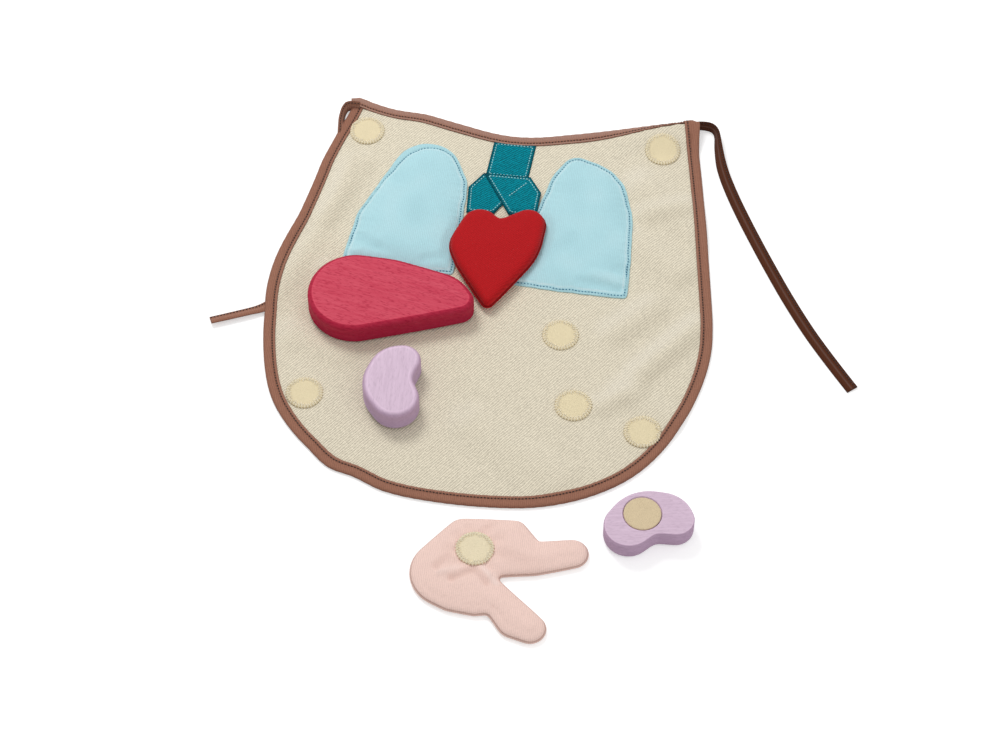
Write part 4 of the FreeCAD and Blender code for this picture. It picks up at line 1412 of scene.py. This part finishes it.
class APRON_OT_dots(Operator):
    """Makes the hook dots and loop dots with their zigzag stitches"""

    bl_idname = "apron.dots"
    bl_label = "Hook and loop dots"

    def execute(self, context):
        for body, nodes in frame["record"]["behaviour"]["bodies"].items():
            for node in nodes:
                if "loop_dot" in node:
                    self.dot(node, body, "loop_nap", "loop_dot", 1, True)
                elif "hook_dot" in node:
                    up = 1 if node in ("stomach_hook_dot", "right_kidney_hook_dot") else -1
                    sewn = body in ("stomach", "heart")
                    self.dot(node, body, "sewn_hook_nap" if sewn else "hook_nap", "hook_dot", up, sewn)
        return {"FINISHED"}

    def dot(self, node, body, nap, slot, up, sewn):
        """Round dot with a soft rim; a sewn one has a zigzag round its edge, with painted shade between its
        threads.
        """
        colour, clump, relief = NAPS[nap]
        cloths = bpy.context.scene.apron_cloth
        material = finish_named(nap, napped, tuple(getattr(cloths, colour)), clump, relief)
        low, high = corners_of(node)
        centre = (low + high) / 2
        radius = (high[0] - low[0]) / 2
        thick = up * (high[2] - low[2])
        base = low[2] if up > 0 else high[2]
        rings = [(radius * (1 - r), base + thick * z) for r, z in DOT_RIM_SHARES]
        face = level_face(base + thick * DOT_FACE_SHARE, DOT_NAP, DOT_NAP_SIZE)
        halves = ((rings, face), (((radius * DOT_BACK_INSET_SHARE, base),), level_face(base)))
        loop = circle(centre[:2], radius)
        verts, faces = cushion(loop, base + thick * DOT_SEAM_SHARE, 0.0, halves, DOT_STEP)
        lie = raised if body == "apron" else np.array
        inner, outer = DOT_ZIGZAG_SHARES
        away = np.linalg.norm(verts[:, :2] - centre[:2], axis=1) / radius
        # Painted shade round the rim, between the zigzag's threads
        tint = DOT_RIM_SHADE * smooth((away - inner) / DOT_RIM_FADE_SHARE) if sewn else None
        dot = piece(f"{node}_nap", lie(verts), faces, material, body, tint)
        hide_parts(node)
        if not sewn:
            return
        legs = []
        for k in range(2 * DOT_ZIGZAGS):
            out_angle, in_angle = ((k + step) * np.pi / DOT_ZIGZAGS for step in (k % 2, 1 - k % 2))
            foot = self.rim_point(centre, out_angle, outer * radius, base + up * DOT_THREAD_FOOT)
            wander = DOT_WANDER_SHARE * noise.noise(Vector((k / math.e, *centre[:2] * TO_MM)))
            tip = self.rim_point(centre, in_angle, (inner + wander) * radius, base + thick)
            crossing = foot + (tip - foot) * DOT_RIM_CROSSING_SHARE
            crossing[2] = tip[2]
            legs.append(lie(np.array((foot, crossing, tip))))
        stitched(f"{node}_zigzag", legs, "cream", body, DOT_THREAD)

    def rim_point(self, centre, angle, radius, height):
        """Point round a dot's centre."""
        x, y = centre[:2] + radius * np.array((math.cos(angle), math.sin(angle)))
        return np.array((x, y, height))


class APRON_OT_heart(Operator):
    """Makes the stuffed red heart"""

    bl_idname = "apron.heart"
    bl_label = "Heart"

    def execute(self, context):
        rings = HEART_RING_SHARES

        def face(points, depth):
            crown = crowned(depth, rings[-1][0], HEART_CROWN, HEART_CROWN_REACH)
            return HEART_TOP + crown + bumpy(points, HEART_BUMPS)

        levels = (HEART_LOW, HEART_SEAM, HEART_TOP)
        verts, faces, tint = stuffed("heart_front_cloth", *levels, rings, face)
        heart = piece("heart_cushion", verts, faces, woven("red_twill"), "heart", tint)
        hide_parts("heart_front_cloth", "heart_back_cloth", "heart_filling")
        return {"FINISHED"}


class APRON_OT_stomach(Operator):
    """Makes the stuffed pink stomach that lies with its back up"""

    bl_idname = "apron.stomach"
    bl_label = "Stomach"

    def execute(self, context):
        rings = STOMACH_RING_SHARES
        low, high = corners_of("stomach_hook_dot")
        dot = ((low + high) / 2)[:2]
        dot_radius = (high[0] - low[0]) / 2

        def face(points, depth):
            crown = crowned(depth, rings[-1][0], STOMACH_CROWN, STOMACH_CROWN_REACH)
            away = points - dot
            gap = np.linalg.norm(away, axis=1) - dot_radius
            hold = 1 - smooth(gap / STOMACH_DIMPLE_REACH)
            angle = np.arctan2(away[:, 1], away[:, 0])
            ring = bump_weight(gap - STOMACH_PUCKER_MIDDLE, STOMACH_PUCKER_REACH) * (gap > 0)
            pucker = STOMACH_PUCKER * np.sin(STOMACH_PUCKERS * angle) * ring
            soft = bumpy(points, STOMACH_BUMPS) + folded(away, STOMACH_FOLDS)
            free = STOMACH_DOT_SEAT + crown + soft + pucker
            seat = STOMACH_DOT_SEAT - STOMACH_SEAT_SINK + pucker
            return free + np.where(gap < 0, 1.0, hold) * (seat - free)

        levels = (TABLE, STOMACH_SEAM, STOMACH_DOT_SEAT)
        verts, faces, tint = stuffed("stomach_front_cloth", *levels, rings, face)
        # Painted shade in the fold valleys and painted light on the ridges of the top half
        tint -= FOLD_PAINTED_SHADING * folded(verts[:, :2] - dot, STOMACH_FOLDS) * (verts[:, 2] > STOMACH_SEAM)
        weave = woven("pink_cotton")
        stomach = piece("stomach_cushion", verts, faces, weave, "stomach", tint)
        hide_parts("stomach_front_cloth", "stomach_back_cloth", "stomach_filling")
        return {"FINISHED"}


class APRON_OT_wooden_organs(Operator):
    """Makes the stained liver and kidneys, round in front, with a recess for the dot behind"""

    bl_idname = "apron.wooden_organs"
    bl_label = "Wooden organs"

    def execute(self, context):
        wood = context.scene.apron_wood
        for organ, degrees in GRAIN_DEGREES.items():
            kind = organ.split("_")[-1]
            top, side = (tuple(getattr(wood, f"{kind}_{part}")) for part in ("top", "side"))
            look = (top, side, degrees, wood.grain, *STAIN_AND_SHADE_SHARES[kind])
            stain = finish_named(f"{organ}_stain", stained, *look)
            verts, faces = self.block(f"{organ}_block", f"{organ}_hook_dot")
            # Painted shade, darkest at the foot of the block
            foot = 1 - smooth((verts[:, 2] - verts[:, 2].min()) / WOOD_FOOT_SHADE_REACH)
            made = piece(f"{organ}_wood", verts, faces, stain, organ, foot)
            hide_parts(f"{organ}_block")
        return {"FINISHED"}

    def block(self, node, dot):
        """Block between its back, where the dot is, and its rounder front."""
        low, high = (float(corner[2]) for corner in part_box(node))
        dot_low, dot_high = corners_of(dot)
        back_up = dot_high[2] > (low + high) / 2
        back, front, up = (high, low, 1) if back_up else (low, high, -1)
        wall = back - up * WOOD_BACK_ROUND
        loop = outline(node, wall, RIM_STEP)
        centre = ((dot_low + dot_high) / 2)[:2]
        bore = RECESS_WIDTH / 2
        collar, mouth, floor = (circle(centre, bore + step * RECESS_DRAFT) for step in (1, 0, -1))

        def back_face(points, depth):
            away = np.linalg.norm(points - centre, axis=1)
            return np.where(away < bore - RECESS_DRAFT / 2, back - up * RECESS_DEPTH, back)

        def front_face(points, depth):
            crown = 0.0 if back_up else WOOD_CROWN
            return front + crowned(depth, WOOD_FRONT_ROUND, crown, WOOD_CROWN_REACH)

        halves = (
            (self.rounded(WOOD_BACK_ROUND, back, up), back_face, collar, mouth, floor),
            (self.rounded(WOOD_FRONT_ROUND, front, -up), front_face),
        )
        return cushion(loop, wall, 0.0, halves, GRID_STEP)

    def rounded(self, radius, level, up):
        """Rings of a quarter round that ends at a level."""
        turns = np.linspace(0.0, math.pi / 2, ROUND_RINGS)
        return [(radius * (1 - math.cos(a)), level - up * radius * (1 - math.sin(a))) for a in turns]


class APRON_PT_pieces(Panel):
    """Lists the apron's settings and the operators that make its pieces"""

    bl_idname = "APRON_PT_pieces"
    bl_label = "Toy anatomy apron"
    bl_space_type = "VIEW_3D"
    bl_region_type = "UI"
    bl_category = "Apron"

    def draw(self, context):
        for made in OPERATORS:
            self.layout.operator(made.bl_idname)
        for name, group in SETTINGS.items():
            box = self.layout.box()
            settings = getattr(context.scene, name)
            for key in group.__annotations__:
                box.prop(settings, key)


SETTINGS = {
    "apron_cloth": ApronClothSettings,
    "apron_thread": ApronThreadSettings,
    "apron_wood": ApronWoodSettings,
    "apron_stage": ApronStageSettings,
}
OPERATORS = (
    APRON_OT_stage, APRON_OT_ties, APRON_OT_panel, APRON_OT_airways, APRON_OT_lungs, APRON_OT_dots,
    APRON_OT_heart, APRON_OT_stomach, APRON_OT_wooden_organs,
)


def register():
    """Adds the settings, the operators and the panel to Blender."""
    for name, group in SETTINGS.items():
        bpy.utils.register_class(group)
        setattr(bpy.types.Scene, name, PointerProperty(type=group))
    for made in (*OPERATORS, APRON_PT_pieces):
        bpy.utils.register_class(made)


def unregister():
    """Takes them out again."""
    for made in (APRON_PT_pieces, *reversed(OPERATORS)):
        bpy.utils.unregister_class(made)
    for name, group in SETTINGS.items():
        delattr(bpy.types.Scene, name)
        bpy.utils.unregister_class(group)


def main():
    """Makes every piece."""
    register()
    bpy.ops.apron.stage()
    bpy.ops.apron.ties()
    bpy.ops.apron.panel()
    bpy.ops.apron.airways()
    bpy.ops.apron.lungs()
    bpy.ops.apron.dots()
    bpy.ops.apron.heart()
    bpy.ops.apron.stomach()
    bpy.ops.apron.wooden_organs()
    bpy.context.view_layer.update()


if __name__ == "__main__":
    main()
